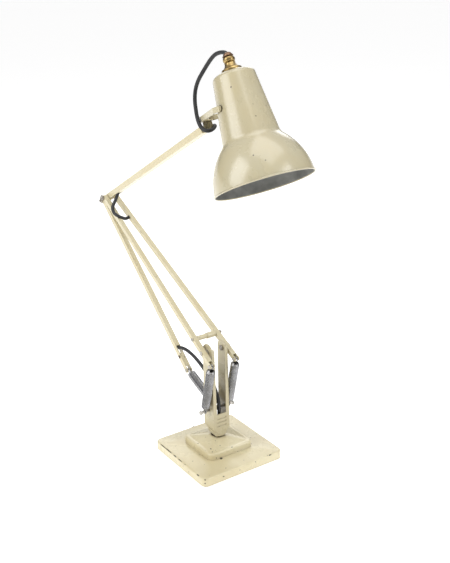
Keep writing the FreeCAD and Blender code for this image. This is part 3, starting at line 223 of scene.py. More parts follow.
# %% [markdown]
# ## Helpers for nodes
# Materials and the world are trees of nodes. A few helpers keep them short: `add` makes a node, and each of
# its inputs takes either a value or another node's output. `ramp` turns one range of values into another
# and stops at its ends, which makes a soft noise into a mask.


# %% Helpers for nodes
def set_inputs(tree, inputs, values):
    """Gives inputs, by name or number, a value each, or links another node's output to them."""
    for key, value in values.items():
        if isinstance(value, bpy.types.NodeSocket):
            tree.links.new(value, inputs[key])
        else:
            inputs[key].default_value = value


def add(tree, kind, values=None, **settings):
    """Adds a node. Settings go on the node itself, and values on its inputs."""
    node = tree.nodes.new(kind)
    for key, value in settings.items():
        setattr(node, key, value)
    set_inputs(tree, node.inputs, values or {})
    return node


def ramp(tree, value, low, high, black=0.0, white=1.0):
    """Turns low to high into black to white, and stops there."""
    values = {"Value": value, "From Min": low, "From Max": high, "To Min": black, "To Max": white}
    return add(tree, "ShaderNodeMapRange", values).outputs[0]


def calculate(tree, operation, first, second):
    return add(tree, "ShaderNodeMath", {0: first, 1: second}, operation=operation).outputs[0]


def mix_colour(tree, factor, first, second):
    """Mixes two colours, each a socket or a colour, by a socket."""
    node = add(tree, "ShaderNodeMix", data_type="RGBA")
    inputs = {socket.name: socket for socket in node.inputs if socket.enabled}
    set_inputs(tree, inputs, {"Factor": factor, "A": first, "B": second})
    return next(socket for socket in node.outputs if socket.enabled)


# %% [markdown]
# ## The studio
# The lamp was photographed on white with large soft lights, which give the gloss paint long, soft
# highlights. A pale floor, a white world and four big area lights do the same. The key light is to the left
# and above, a second fills from the right, one hangs overhead, and a strip behind picks out the edges.

# %% Floor
FLOOR_SIZE = 30
floor_mesh = bpy.data.meshes.new("floor")
floor_bm = bmesh.new()
bmesh.ops.create_grid(floor_bm, x_segments=1, y_segments=1, size=FLOOR_SIZE)
floor_bm.to_mesh(floor_mesh)
floor_bm.free()
floor_paint = bpy.data.materials.new("pale_floor")
floor_paint.use_nodes = True
floor_look = {
    "Base Color": (0.9, 0.9, 0.9, 1),
    "Roughness": 0.9,
    "Emission Color": (1, 1, 1, 1),
    "Emission Strength": 0.62,
}
set_inputs(floor_paint.node_tree, floor_paint.node_tree.nodes["Principled BSDF"].inputs, floor_look)
floor_mesh.materials.append(floor_paint)
show("floor", floor_mesh)

# %% [markdown]
# The camera sees a white backdrop. The lamp is lit more gently than that, and what shines on it mirrors a
# room that is bright overhead and dark low down, which gives metal and gloss paint their contrast.

# %% World
LIT = 0.36
MIRRORED_LOW, MIRRORED_HIGH = 0.05, 1.10
SEEN = 1.02
HORIZON, OVERHEAD = 0.05, 0.85
world = bpy.data.worlds.new("studio")
world.use_nodes = True
bpy.context.scene.world = world
room = world.node_tree
rays = add(room, "ShaderNodeLightPath")
sky = add(room, "ShaderNodeTexCoord")
sky_axes = add(room, "ShaderNodeSeparateXYZ", {"Vector": sky.outputs["Generated"]})
mirrored = ramp(room, sky_axes.outputs["Z"], HORIZON, OVERHEAD, MIRRORED_LOW, MIRRORED_HIGH)
unseen = ramp(room, rays.outputs["Is Glossy Ray"], 0.0, 1.0, LIT, mirrored)
strength = ramp(room, rays.outputs["Is Camera Ray"], 0.0, 1.0, unseen, SEEN)
set_inputs(room, room.nodes["Background"].inputs, {"Color": (1, 1, 1, 1), "Strength": strength})
bpy.context.scene.view_settings.view_transform = "Standard"

# %% Lights
LAMP_MIDDLE = Vector((0.0, 0.0, 0.35))


def area_light(name, place, size, power):
    """A soft rectangular light that faces the middle of the lamp."""
    data = bpy.data.lights.new(name, "AREA")
    data.shape = "RECTANGLE"
    data.size, data.size_y = size
    data.energy = power
    light = show(name, data)
    light.location = place
    light.rotation_euler = (LAMP_MIDDLE - Vector(place)).to_track_quat("-Z", "Y").to_euler()


area_light("key_light", place=(-0.4, -1.9, 1.5), size=(1.4, 1.8), power=30)
area_light("fill_light", place=(1.9, 0.9, 1.3), size=(0.9, 1.8), power=20)
area_light("top_light", place=(0.2, 0.1, 2.3), size=(1.6, 1.6), power=18)
area_light("back_light", place=(-1.7, 1.3, 1.3), size=(1.8, 0.8), power=10)

# %% [markdown]
# ## Finishes: shared effects
# Old gloss paint is never one colour. It yellows in broad soft patches, carries fine dark specks where dirt
# has settled, and wears along edges until metal and rust show. Each of these is a shader node group with
# named inputs, so every painted piece can use it with its own values. All of them read Object coordinates,
# which stay with a piece as it moves.

# %% Helpers for node groups
NUMBER, VECTOR = "NodeSocketFloat", "NodeSocketVector"


def new_group(name, inputs, outputs):
    """A shader group from inputs of (name, type, value), and the sockets that it reads and fills."""
    group = bpy.data.node_groups.new(name, "ShaderNodeTree")
    for socket_name, kind, value in inputs:
        socket = group.interface.new_socket(socket_name, in_out="INPUT", socket_type=kind)
        if value is not None:
            socket.default_value = value
    for socket_name, kind in outputs:
        group.interface.new_socket(socket_name, in_out="OUTPUT", socket_type=kind)
    return group, group.nodes.new("NodeGroupInput").outputs, group.nodes.new("NodeGroupOutput").inputs


def noise(tree, vector, scale, **values):
    """A soft noise between 0 and 1."""
    return add(tree, "ShaderNodeTexNoise", {"Vector": vector, "Scale": scale, **values}).outputs["Fac"]


def vector_node(tree, operation, *vectors):
    return add(tree, "ShaderNodeVectorMath", dict(enumerate(vectors)), operation=operation)


# %% Group: broad patches of age
age_group, age_in, age_out = new_group(
    "aged patches",
    [("Vector", VECTOR, None), ("Scale", NUMBER, 18.0), ("Contrast", NUMBER, 1.0)],
    [("Mask", NUMBER)],
)
age_clouds = noise(age_group, age_in["Vector"], age_in["Scale"], Detail=4.0, Roughness=0.55)
age_patches = ramp(age_group, age_clouds, 0.35, 0.68)
set_inputs(age_group, age_out, {"Mask": calculate(age_group, "MULTIPLY", age_patches, age_in["Contrast"])})

# %% [markdown]
# Voronoi cells give each speck a place of its own. A noise that picks only some of the cells keeps them
# sparse.

# %% Group: dark specks
speck_group, speck_in, speck_out = new_group(
    "dark specks",
    [("Vector", VECTOR, None), ("Scale", NUMBER, 160.0), ("Size", NUMBER, 0.12), ("Amount", NUMBER, 0.35)],
    [("Mask", NUMBER)],
)
speck_values = {"Vector": speck_in["Vector"], "Scale": speck_in["Scale"]}
speck_cells = add(speck_group, "ShaderNodeTexVoronoi", speck_values)
speck_dot = calculate(speck_group, "LESS_THAN", speck_cells.outputs["Distance"], speck_in["Size"])
speck_draw = add(speck_group, "ShaderNodeSeparateColor", {"Color": speck_cells.outputs["Color"]}).outputs[0]
speck_chance = calculate(speck_group, "SUBTRACT", 1.0, speck_in["Amount"])
speck_chosen = calculate(speck_group, "GREATER_THAN", speck_draw, speck_chance)
cluster_scale = calculate(speck_group, "MULTIPLY", speck_in["Scale"], 0.25)
speck_clusters = noise(speck_group, speck_in["Vector"], cluster_scale, Detail=5.0, Roughness=0.7)
speck_near = ramp(speck_group, speck_clusters, 0.5, 0.62)
speck_some = calculate(speck_group, "MULTIPLY", speck_dot, speck_chosen)
set_inputs(speck_group, speck_out, {"Mask": calculate(speck_group, "MULTIPLY", speck_some, speck_near)})

# %% [markdown]
# The Bevel node looks around a point and bends the normal near an edge. Where it differs from the true
# normal there is an edge, and a noise breaks the edge into chips of different lengths.

# %% Group: worn edges
wear_group, wear_in, wear_out = new_group(
    "worn edges",
    [("Vector", VECTOR, None), ("Radius", NUMBER, 0.0012), ("Scale", NUMBER, 90.0), ("Amount", NUMBER, 0.5)],
    [("Mask", NUMBER), ("Normal", VECTOR)],
)
wear_normal = add(wear_group, "ShaderNodeBevel", {"Radius": wear_in["Radius"]}, samples=6).outputs[0]
true_normal = add(wear_group, "ShaderNodeNewGeometry").outputs["Normal"]
wear_bend = vector_node(wear_group, "DOT_PRODUCT", wear_normal, true_normal).outputs["Value"]
wear_edge = ramp(wear_group, wear_bend, 0.995, 0.80)
wear_clouds = noise(wear_group, wear_in["Vector"], wear_in["Scale"], Detail=6.0, Roughness=0.65)
wear_level = calculate(wear_group, "ADD", wear_clouds, wear_in["Amount"])
wear_sum = calculate(wear_group, "MULTIPLY", wear_edge, wear_level)
set_inputs(wear_group, wear_out, {"Mask": ramp(wear_group, wear_sum, 0.78, 0.84), "Normal": wear_normal})

# %% [markdown]
# Where two faces meet, a brown darkens the paint. It is partly dust and polish that a cloth can't reach,
# and partly painted shade. The Ambient Occlusion node measures how much of the sky a point can see, so it
# finds those places, and a noise keeps the line from being even.

# %% Group: grime and painted shade in corners
grime_and_shade_group, grime_and_shade_in, grime_and_shade_out = new_group(
    "grime in corners",
    [("Vector", VECTOR, None), ("Reach", NUMBER, 0.008), ("Amount", NUMBER, 0.8)],
    [("Mask", NUMBER)],
)
corner_openness = add(grime_and_shade_group, "ShaderNodeAmbientOcclusion", {"Distance": grime_and_shade_in["Reach"]}, samples=8)
corner_shade = ramp(grime_and_shade_group, corner_openness.outputs["AO"], 0.80, 0.25)
grime_and_shade_clouds = noise(grime_and_shade_group, grime_and_shade_in["Vector"], 70.0, Detail=3.0)
grime_and_shade_uneven = ramp(grime_and_shade_group, grime_and_shade_clouds, 0.30, 0.65, 0.35, 1.0)
grime_and_shade_mask = calculate(grime_and_shade_group, "MULTIPLY", corner_shade, grime_and_shade_uneven)
grime_and_shade_level = calculate(grime_and_shade_group, "MULTIPLY", grime_and_shade_mask, grime_and_shade_in["Amount"])
set_inputs(grime_and_shade_group, grime_and_shade_out, {"Mask": grime_and_shade_level})

# %% [markdown]
# A chip is a small blot at a place of its own. A noise pushes its outline in and out, and Stretch makes it
# longer along one axis, as a knock on an edge does.

# %% Group: one chip
chip_group, chip_in, chip_out = new_group(
    "one chip",
    [("Vector", VECTOR, None), ("Place", VECTOR, None), ("Stretch", VECTOR, None), ("Size", NUMBER, 0.001)],
    [("Mask", NUMBER)],
)
chip_clouds = noise(chip_group, chip_in["Vector"], 900.0, Detail=2.0)
chip_away = vector_node(chip_group, "SUBTRACT", chip_in["Vector"], chip_in["Place"]).outputs[0]
chip_shape = vector_node(chip_group, "DIVIDE", chip_away, chip_in["Stretch"]).outputs[0]
chip_distance = vector_node(chip_group, "LENGTH", chip_shape).outputs["Value"]
chip_ragged = ramp(chip_group, chip_clouds, 0.3, 0.7, 0.6, 1.4)
chip_reach = calculate(chip_group, "MULTIPLY", chip_in["Size"], chip_ragged)
set_inputs(chip_group, chip_out, {"Mask": calculate(chip_group, "LESS_THAN", chip_distance, chip_reach)})

# %% [markdown]
# ## Finishes: cream paint
# The real paint is a warm cream gloss with a slightly rough, brushed-over surface. The mix starts with two
# creams, which the arms, the fork and the shade take darker as painted shade, and lays browner age patches
# over them. Then comes a brown in the corners, partly grime and partly painted shade, then specks, and last
# the bare brown-black metal in the chips. Roughness rises where the paint is aged and where metal shows.
# The largest chips are placed where knocks fell. The fork's inner faces, down between its cheeks, turn
# dark brown towards the bottom, partly as dirt and partly as painted shade.

# %% Cream paint
PALE_CREAM = (0.700, 0.635, 0.430)
WARM_CREAM = (0.635, 0.555, 0.345)
OLD_CREAM = (0.500, 0.410, 0.215, 1)
# A brown for the corners, partly grime and partly painted shade.
GRIME_AND_SHADE = (0.230, 0.175, 0.090, 1)
# A dark brown low in the fork's gap, partly dirt and partly painted shade.
PIT_DIRT_AND_SHADE = (0.110, 0.070, 0.010, 1)
BARE_METAL = (0.030, 0.022, 0.016, 1)
FACES_INWARDS = -0.004
PIT_SHARE = 0.92
ROUGH_FRESH, ROUGH_AGED, ROUGH_BARE = 0.26, 0.40, 0.6
BRUSH_SCALE = 260.0


def group_node(tree, group, **values):
    return add(tree, "ShaderNodeGroup", values, node_tree=group).outputs


def start_material(name):
    """A new material, with its tree, its shader's inputs and its texture coordinates."""
    material = bpy.data.materials.new(name)
    material.use_nodes = True
    tree = material.node_tree
    return material, tree, tree.nodes["Principled BSDF"].inputs, add(tree, "ShaderNodeTexCoord").outputs


# A cream darkened by a share, as painted shade: the arms, the fork and the shade take darker copies of the one
# cream than the base.
def shaded_copy(colour, share):
    return (*(level * share for level in colour), 1)


def pit_dirt_and_shade_mask(tree, coordinates, low, high):
    """Dirt and painted shade, which grow downwards on the faces that look towards the upright axis.
    It is black on the others.
    """
    level = vector_node(tree, "MULTIPLY", coordinates["Object"], (1, 1, 0)).outputs[0]
    outwards = vector_node(tree, "DOT_PRODUCT", level, coordinates["Normal"]).outputs["Value"]
    inwards = calculate(tree, "LESS_THAN", outwards, FACES_INWARDS)
    axes = add(tree, "ShaderNodeSeparateXYZ", {"Vector": coordinates["Object"]}).outputs
    return calculate(tree, "MULTIPLY", inwards, ramp(tree, axes["Z"], high, low, 0.0, PIT_SHARE))


def cream_paint(
    name, edges, specks, speck_scale, grime_and_shade, reach, ripple, chips=(), painted_shading=(1.0, 1.0), pit=None, coat=0.30
):
    """Old gloss paint. Edges, specks and the corner grime, partly painted shade, are amounts.
    A chip is a place, a size and a stretch.
    """
    material, tree, shader, coordinates = start_material(name)
    place = coordinates["Object"]
    patches = group_node(tree, age_group, Vector=place, Scale=9.0, Contrast=1.0)
    stains = group_node(tree, age_group, Vector=place, Scale=34.0, Contrast=0.30)
    dots = group_node(tree, speck_group, Vector=place, Scale=speck_scale, Size=0.14, Amount=specks)
    worn_edges = group_node(tree, wear_group, Vector=place, Radius=0.0008, Scale=95.0, Amount=edges)
    # The corners darken with grime and with painted shade.
    dirt_and_shade = group_node(tree, grime_and_shade_group, Vector=place, Reach=reach, Amount=grime_and_shade)
    cream = mix_colour(tree, patches["Mask"], shaded_copy(PALE_CREAM, painted_shading[0]), shaded_copy(WARM_CREAM, painted_shading[1]))
    cream = mix_colour(tree, stains["Mask"], cream, OLD_CREAM)
    cream = mix_colour(tree, dirt_and_shade["Mask"], cream, GRIME_AND_SHADE)
    if pit:
        cream = mix_colour(tree, pit_dirt_and_shade_mask(tree, coordinates, *pit), cream, PIT_DIRT_AND_SHADE)
    worn = calculate(tree, "MAXIMUM", dots["Mask"], worn_edges["Mask"])
    for chip_place, size, stretch in chips:
        spot = {"Place": metres(chip_place), "Size": size * MM, "Stretch": stretch}
        chip = group_node(tree, chip_group, Vector=place, **spot)
        worn = calculate(tree, "MAXIMUM", worn, chip["Mask"])
    aged = ramp(tree, stains["Mask"], 0.0, 1.0, ROUGH_FRESH, ROUGH_AGED)
    dull = calculate(tree, "MULTIPLY", calculate(tree, "MAXIMUM", worn, dirt_and_shade["Mask"]), ROUGH_BARE)
    brushed = calculate(tree, "MULTIPLY", noise(tree, place, BRUSH_SCALE, Detail=3.0), ripple)
    relief = {
        "Strength": 0.22,
        "Distance": 0.0004,
        "Height": calculate(tree, "SUBTRACT", brushed, worn),
        "Normal": worn_edges["Normal"],
    }
    look = {
        "Base Color": mix_colour(tree, worn, cream, BARE_METAL),
        "Roughness": calculate(tree, "MAXIMUM", aged, dull),
        "Normal": add(tree, "ShaderNodeBump", relief).outputs[0],
        "Coat Weight": coat,
        "Coat Roughness": 0.18,
    }
    set_inputs(tree, shader, look)
    return material


# %% [markdown]
# The knocks are placed one by one, each as a place, a size and how far it stretches along X, Y and Z. The
# base has the most, along its front edge and around the corners, where it met other things on the desk.

# %% Knocks, and the four paints
LEVEL = (1, 1, 1)
BASE_CHIPS = [
    ((-50, -75.6, 15.0), 0.8, (12, 1, 1)), ((-34, -75.6, 15.2), 1.0, (9, 1, 1)),
    ((-12.7, -75.7, 14.9), 0.9, (5, 1, 1)), ((3.0, -75.8, 14.9), 0.7, (8, 1, 1)),
    ((18.5, -75.8, 14.9), 0.6, (3, 1, 1)), ((57, -75.6, 15.0), 1.0, (3, 1, 1)),
    ((73.7, -73.3, 14.1), 1.2, LEVEL), ((74, -73.4, 8), 1.1, LEVEL), ((43.1, -22.4, 18.7), 2.0, (1, 1.2, 1)),
    ((41.7, -30.4, 21.9), 0.8, LEVEL), ((33.7, -32.9, 30.3), 1.1, LEVEL),
    ((26.1, -30.8, 31.6), 0.9, (1.6, 1, 1)), ((15.5, -14.8, 35.7), 0.7, LEVEL),
    ((27.6, -14.0, 32.6), 0.8, LEVEL), ((-2.0, -37.3, 30.2), 1.0, LEVEL), ((-26.4, -19.0, 33.0), 0.7, LEVEL),
    ((16.2, 54.4, 17.7), 0.9, LEVEL), ((34.4, 43.1, 18.7), 0.9, LEVEL), ((76.2, 21.5, 13.0), 1.0, LEVEL),
    ((39.7, 1.3, 30.0), 0.8, (1, 1.6, 1)), ((-36, -60, 17.2), 0.8, LEVEL), ((20, -62, 17.0), 0.7, LEVEL),
    ((68, -30, 16.6), 0.8, LEVEL), ((76.2, -40, 9), 0.9, (1, 1.6, 1)), ((76.2, -8.8, 9.2), 0.8, LEVEL),
    ((30, -76.2, 7), 0.9, LEVEL), ((75.8, 51.0, 14.9), 0.9, (1, 3, 1)),
]
ARM_CHIPS = [((-243.8, 9.5, 322.6), 1.3, LEVEL), ((-98.7, 2.2, 138.2), 1.0, LEVEL)]
SHADE_CHIPS = [
    ((97.9, -24.3, 617.3), 0.9, (1, 1, 1.8)), ((133.2, -9.3, 581.8), 0.8, LEVEL),
    ((168.4, -39.3, 539.6), 1.0, LEVEL),
]
FORK_PIT = (0.045, 0.165)
# The arms, the fork and the shade take darker copies of the one cream, as painted shade.
arm_paint = cream_paint(
    "cream_gloss_arms", edges=-0.10, specks=0.22, speck_scale=170.0, grime_and_shade=0.55, reach=0.004, ripple=0.08,
    chips=ARM_CHIPS, painted_shading=(0.86, 0.90),
)
cream_paint(
    "cream_gloss_fork", edges=0.16, specks=0.40, speck_scale=170.0, grime_and_shade=0.80, reach=0.024, ripple=0.16,
    painted_shading=(0.73, 0.73), pit=FORK_PIT, coat=0.10,
)
cream_paint(
    "cream_gloss_base", edges=0.22, specks=0.50, speck_scale=210.0, grime_and_shade=0.55, reach=0.007, ripple=0.25,
    chips=BASE_CHIPS,
)
shade_paint = cream_paint(
    "cream_gloss_shade", edges=-0.20, specks=0.12, speck_scale=120.0, grime_and_shade=0.50, reach=0.004, ripple=0.12,
    chips=SHADE_CHIPS, painted_shading=(0.66, 0.68), coat=0.75,
)

# %% [markdown]
# ## Finishes: metals, rubber and the knuckle's olive
# The springs are bright steel with faint grime between the turns. The screws are duller plated steel. The
# cap is brass that has gone brown except where hands have rubbed it. The inside of the shade is spun
# aluminium that has oxidised to a soft grey. The knuckle is a dark olive, partly its paint and partly
# painted shade. All of these, and rubber, are one colour that turns into another in patches, with a fine
# grain, so one function makes them.


# %% Metals
def patchy_finish(
    name, light, dark, roughness, scale, grain, grain_depth,
    contrast=1.0, rougher=0.15, detail=4.0, relief=0.0005, metallic=0.0,
):
    """A light finish that is dark and rougher in patches. Grain is how fine its texture is."""
    material, tree, shader, coordinates = start_material(name)
    place = coordinates["Object"]
    patches = group_node(tree, age_group, Vector=place, Scale=scale, Contrast=contrast)["Mask"]
    height = noise(tree, place, grain, Detail=detail)
    bump = add(tree, "ShaderNodeBump", {"Strength": grain_depth, "Distance": relief, "Height": height})
    look = {
        "Base Color": mix_colour(tree, patches, light, dark),
        "Roughness": ramp(tree, patches, 0.0, 1.0, roughness, min(roughness + rougher, 1.0)),
        "Normal": bump.outputs[0],
        "Metallic": metallic,
    }
    set_inputs(tree, shader, look)
    return material


def metal(name, bright, dull, roughness, scale, contrast=1.0):
    return patchy_finish(
        name, bright, dull, roughness, scale, grain=400.0, grain_depth=0.15, contrast=contrast, rougher=0.22,
        detail=3.0, relief=0.0003, metallic=1.0,
    )


spring_steel = metal(
    "spring_steel", (0.40, 0.40, 0.41, 1), (0.17, 0.165, 0.155, 1), 0.20, scale=60.0, contrast=0.55
)
plated_steel = metal("plated_steel", (0.50, 0.48, 0.44, 1), (0.16, 0.13, 0.10, 1), 0.34, scale=150.0)
metal("dark_steel", (0.16, 0.13, 0.10, 1), (0.05, 0.035, 0.025, 1), 0.45, scale=150.0)
aged_brass = metal("aged_brass", (0.40, 0.29, 0.125, 1), (0.15, 0.10, 0.04, 1), 0.22, scale=120.0)
browned_brass = metal("browned_brass", (0.22, 0.135, 0.085, 1), (0.07, 0.042, 0.027, 1), 0.26, scale=140.0)
spun_aluminium = metal("spun_aluminium", (0.30, 0.30, 0.28, 1), (0.17, 0.17, 0.16, 1), 0.46, scale=25.0)

# %% Rubber, and the knuckle's olive with painted shade
black_rubber = patchy_finish(
    "black_rubber", (0.011, 0.012, 0.013, 1), (0.005, 0.005, 0.006, 1), 0.48,
    scale=80.0, grain=500.0, grain_depth=0.2,
)
# The knuckle's dark olive is partly its own paint and partly painted shade, for the shadow under the yoke.
patchy_finish(
    "olive_paint_and_shade", (0.26, 0.22, 0.11, 1), (0.10, 0.08, 0.04, 1), 0.4,
    scale=160.0, grain=500.0, grain_depth=0.3,
)

# %% [markdown]
# ## Modelling helpers
# Most pieces of the lamp are turned, wound or headed, so a few helpers make nearly all of them. `turned`
# spins a line of points about Z, as a spinner turns a shade on a lathe. Later cells add `wound`, which
# winds a round wire into a close coil, and `slotted_head` and `hex_nut`, which make the ends of bolts. Each
# piece is made at the origin, then set in its place by moving its mesh, so the object itself stays
# unturned.

# %% Finish a mesh and put it on a body
SAME_PLACE = 0.001


def piece(name, parts, body, material, node, sharp=38):
    """Joins parts, each a bmesh in millimetres and its place, into a piece that stands for a node."""
    mesh = bpy.data.meshes.new(name)
    whole = bmesh.new()
    for bm, place in parts:
        bmesh.ops.recalc_face_normals(bm, faces=bm.faces)
        bm.to_mesh(mesh)
        bm.free()
        mesh.transform(place @ Matrix.Scale(MM, 4))
        whole.from_mesh(mesh)
    whole.to_mesh(mesh)
    whole.free()
    for polygon in mesh.polygons:
        polygon.use_smooth = True
    mesh.set_sharp_from_angle(angle=math.radians(sharp))
    mesh.materials.append(material)
    thing = show(name, mesh)
    if body:
        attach(thing, body)
    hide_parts(node)
    return thing


def turned(points, steps):
    """A bmesh turned about Z from a line of points, each a radius and a height."""
    bm = bmesh.new()
    verts = [bm.verts.new((radius, 0, height)) for radius, height in points]
    edges = [bm.edges.new(pair) for pair in zip(verts, verts[1:])]
    bmesh.ops.spin(
        bm, geom=verts + edges, cent=(0, 0, 0), axis=(0, 0, 1), angle=math.tau, steps=steps, use_merge=True
    )
    bmesh.ops.remove_doubles(bm, verts=bm.verts, dist=SAME_PLACE)
    return bm


def arc(centre, radius, start, end, count):
    """Points on an arc, with the angles in degrees."""
    turns = [math.radians(start + (end - start) * i / count) for i in range(count + 1)]
    return [(centre[0] + radius * math.cos(t), centre[1] + radius * math.sin(t)) for t in turns]


# %% [markdown]
# ## The shade
# The shade is one sheet of aluminium, spun over a former into a tapered can on a round bell, painted
# outside and left bare inside. Its rim is rolled outwards so that it is stiff and has no sharp edge, and
# its shoulder is softly rounded. We draw the outside line from the rim to the cord hole, come back along
# the inside one sheet thinner, and turn both at once.

# %% Model the shade
SHEET = 0.9
RIM_RADIUS = 71.0
ROLL_RADIUS = 1.15
ROLL_OUT = 0.35
BELL_RADIUS = 91.7
BELL_CENTRE = (-20.55, -3.13)
BELL_LOW = 2.4
BELL_STEPS = 22
NECK = (44.0, 62.0)
WAIST = (41.2, 66.5)
SHOULDER = (30.3, 153.5)
TOP = 161.0
SHOULDER_ROUND = TOP - SHOULDER[1]
SHOULDER_RUN = 13.0
SHOULDER_STEPS = 9
CORD_HOLE = 12.0


def bell(radius):
    """The bell's line, from the rolled rim to the neck."""
    ends = [math.degrees(math.asin((height - BELL_CENTRE[1]) / radius)) for height in (BELL_LOW, NECK[1])]
    return arc(BELL_CENTRE, radius, *ends, BELL_STEPS)


def shoulder(rise):
    """A flattened arc from the side of the can to its top, which rises by the given height."""
    run = SHOULDER_RUN - SHOULDER_ROUND + rise
    quarter = arc((0, 0), 1, 2, 88, SHOULDER_STEPS)
    return [(SHOULDER[0] - SHOULDER_RUN + x * run, SHOULDER[1] + y * rise) for x, y in quarter]


rolled_rim = arc((RIM_RADIUS + ROLL_OUT, ROLL_RADIUS), ROLL_RADIUS, 60, -200, 12)
crease = [
    (NECK[0] - 1.0, NECK[1] + 1.2), (NECK[0] - 1.9, NECK[1] + 2.6), WAIST, (WAIST[0] - 0.5, WAIST[1] + 2.5),
]
outside = bell(BELL_RADIUS) + crease + shoulder(SHOULDER_ROUND) + [(CORD_HOLE, TOP)]
inside = [(CORD_HOLE, TOP - SHEET)] + shoulder(SHOULDER_ROUND - SHEET)[::-1]
inside += [(x - SHEET, y) for x, y in crease[::-1]] + bell(BELL_RADIUS - SHEET)[::-1]
shade_bm = turned(rolled_rim[::-1] + outside + inside + [rolled_rim[-1]], steps=128)
shade = piece("spun_shade", [(shade_bm, shade_frame)], "shade", shade_paint, "shade", sharp=50)

# %% [markdown]
# Paint was sprayed on the outside only. A face belongs to the bare inside when its middle is nearer to the
# axis than the outside line is at that height, by more than half of the sheet. The rolled rim stays
# painted.

# %% Leave the inside bare
INSIDE_BY = SHEET * 0.6
UNDER_TOP_BY = SHEET * 0.5
PAINTED_BELOW = 1.6
shade.data.materials.append(spun_aluminium)


def outer_radius(height):
    """The shade's outside radius at a height above the rim."""
    for (r_low, low), (r_high, high) in zip(outside, outside[1:]):
        if low <= height <= high and high > low:
            return r_low + (r_high - r_low) * (height - low) / (high - low)
    return RIM_RADIUS if height < NECK[1] else CORD_HOLE


into_shade = shade_frame.inverted()
bare = 0
for polygon in shade.data.polygons:
    x, y, z = into_shade @ polygon.center / MM
    hidden = math.hypot(x, y) < outer_radius(z) - INSIDE_BY and z < TOP - UNDER_TOP_BY
    if hidden and z > PAINTED_BELOW:
        polygon.material_index = 1
        bare += 1
print("shade:", len(shade.data.polygons), "faces,", bare, "of them bare aluminium")

# %% [markdown]
# ## The brass cap and its cord grip
# The cap is turned from brass rod: a wide skirt that clamps the shade, a waist, a ball that fingers can
# grip, and a dark domed grip that holds the flex. Each is a separate turning on the real lamp, so there are
# fine dark lines between them. We make them from short arcs, which catch the light as small bright spots.

# %% Model the cap
CAP_LINE = [(3.4, TOP - 0.4), (13.9, TOP - 0.4), (14.5, TOP + 0.4), (14.5, TOP + 4.4), (13.9, TOP + 5.2)]
CAP_LINE += arc((19.0, TOP + 14.9), 11.6, 240, 190, 10)
CAP_LINE += [(7.2, TOP + 13.6), (8.1, TOP + 14.2), (7.4, TOP + 14.8)]
CAP_LINE += arc((3.7, TOP + 18.4), 4.9, -46, 50, 12) + [(6.4, TOP + 22.6), (3.4, TOP + 22.7)]
cap = [(turned(CAP_LINE, steps=72), shade_frame)]
piece("brass_cap", cap, "shade", aged_brass, "lampholder_cap", sharp=45)

GRIP_LINE = [(3.4, TOP + 22.6), (7.4, TOP + 22.7), (7.9, TOP + 23.3), (7.7, TOP + 24.2), (6.3, TOP + 24.6)]
GRIP_LINE += arc((1.9, TOP + 24.3), 4.6, 4, 72, 10) + [(3.2, TOP + 28.6), (3.2, TOP + 26.4)]
grip = [(turned(GRIP_LINE, steps=64), shade_frame)]
piece("cord_grip_dome", grip, "shade", browned_brass, "cord_grip", sharp=45)

# %% [markdown]
# ## The springs
# Three extension springs carry the lamp. Each is hard steel wire wound with its turns touching, and drawn
# in at the ends to a dome, where the last turn is bent out into a hook. We wind a small circle about Z with
# `spin`, which rises by one wire at every turn, then draw in the ends by scaling each ring of the wire
# towards the middle. The circle is a hair thinner than the wire, so that a fine line shows between the
# turns.

# %% A helper that winds a coil
SPRING_RADIUS = 7.25
WIRE = 1.6
WIRE_SHARE = 0.97
STEPS_A_TURN = 20
DOME = 4.6
DOME_END = 0.30
HOOK_REACH = 7.2


def wound(length, dome_low, dome_high):
    """A close coil about Z, drawn in where it ends in a dome. An open end meets another coil."""
    start = WIRE / 2 if dome_low else 0.0
    end_room = WIRE / 2 if dome_high else 0.0
    turns = (length - start - end_room) / WIRE
    steps = round(turns * STEPS_A_TURN)
    upright = Matrix.Rotation(math.pi / 2, 4, "X")
    shift = Matrix.Translation((SPRING_RADIUS - WIRE / 2, 0, start))
    rise = Vector((0, 0, turns * WIRE / steps))
    bm = bmesh.new()
    bmesh.ops.create_circle(bm, segments=8, radius=WIRE / 2 * WIRE_SHARE, matrix=shift @ upright)
    ring = bm.verts[:] + bm.edges[:]
    bmesh.ops.spin(
        bm, geom=ring, cent=(0, 0, 0), axis=(0, 0, 1), dvec=rise, angle=turns * math.tau, steps=steps
    )
    for vert in bm.verts:
        share = 1.0
        for end, domed in ((vert.co.z, dome_low), (length - vert.co.z, dome_high)):
            if domed and end < DOME:
                roundness = math.sqrt(max(1 - (1 - end / DOME) ** 2, 0))
                share = min(share, DOME_END + (1 - DOME_END) * roundness)
        vert.co.x *= share
        vert.co.y *= share
    return bm


def spring_place(low, high):
    """Where a coil stands between two pins, and its length in millimetres without the hooks."""
    along = high - low
    place = frame_at(low, along) @ Matrix.Translation((0, 0, HOOK_REACH * MM))
    return place, along.length / MM - HOOK_REACH * 2


# %% [markdown]
# The two side springs run from the anchor pin in the fork to the short ends of the lower bars.

# %% Wind the side springs
for name in ("spring_front", "spring_rear"):
    across = middle_of(name).y
    bottom = Vector((anchor.x, across, anchor.z))
    top = Vector((spring_pin.x, across, spring_pin.z))
    place, length = spring_place(bottom, top)
    side_coil = [(wound(length, True, True), place)]
    coil = piece(name.replace("spring", "coil"), side_coil, None, spring_steel, name)
    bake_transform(coil)
    print(coil.name, "is", round(length), "mm long with", round(length / WIRE), "turns")

# %% [markdown]
# The middle spring stretches most, so it is wound in two lengths that meet at the waist, where one joint of
# the frame hands over to the next. Both ends that meet are open, and the place of the split gives the upper
# length whole turns, so that the wire runs on from one length into the other.

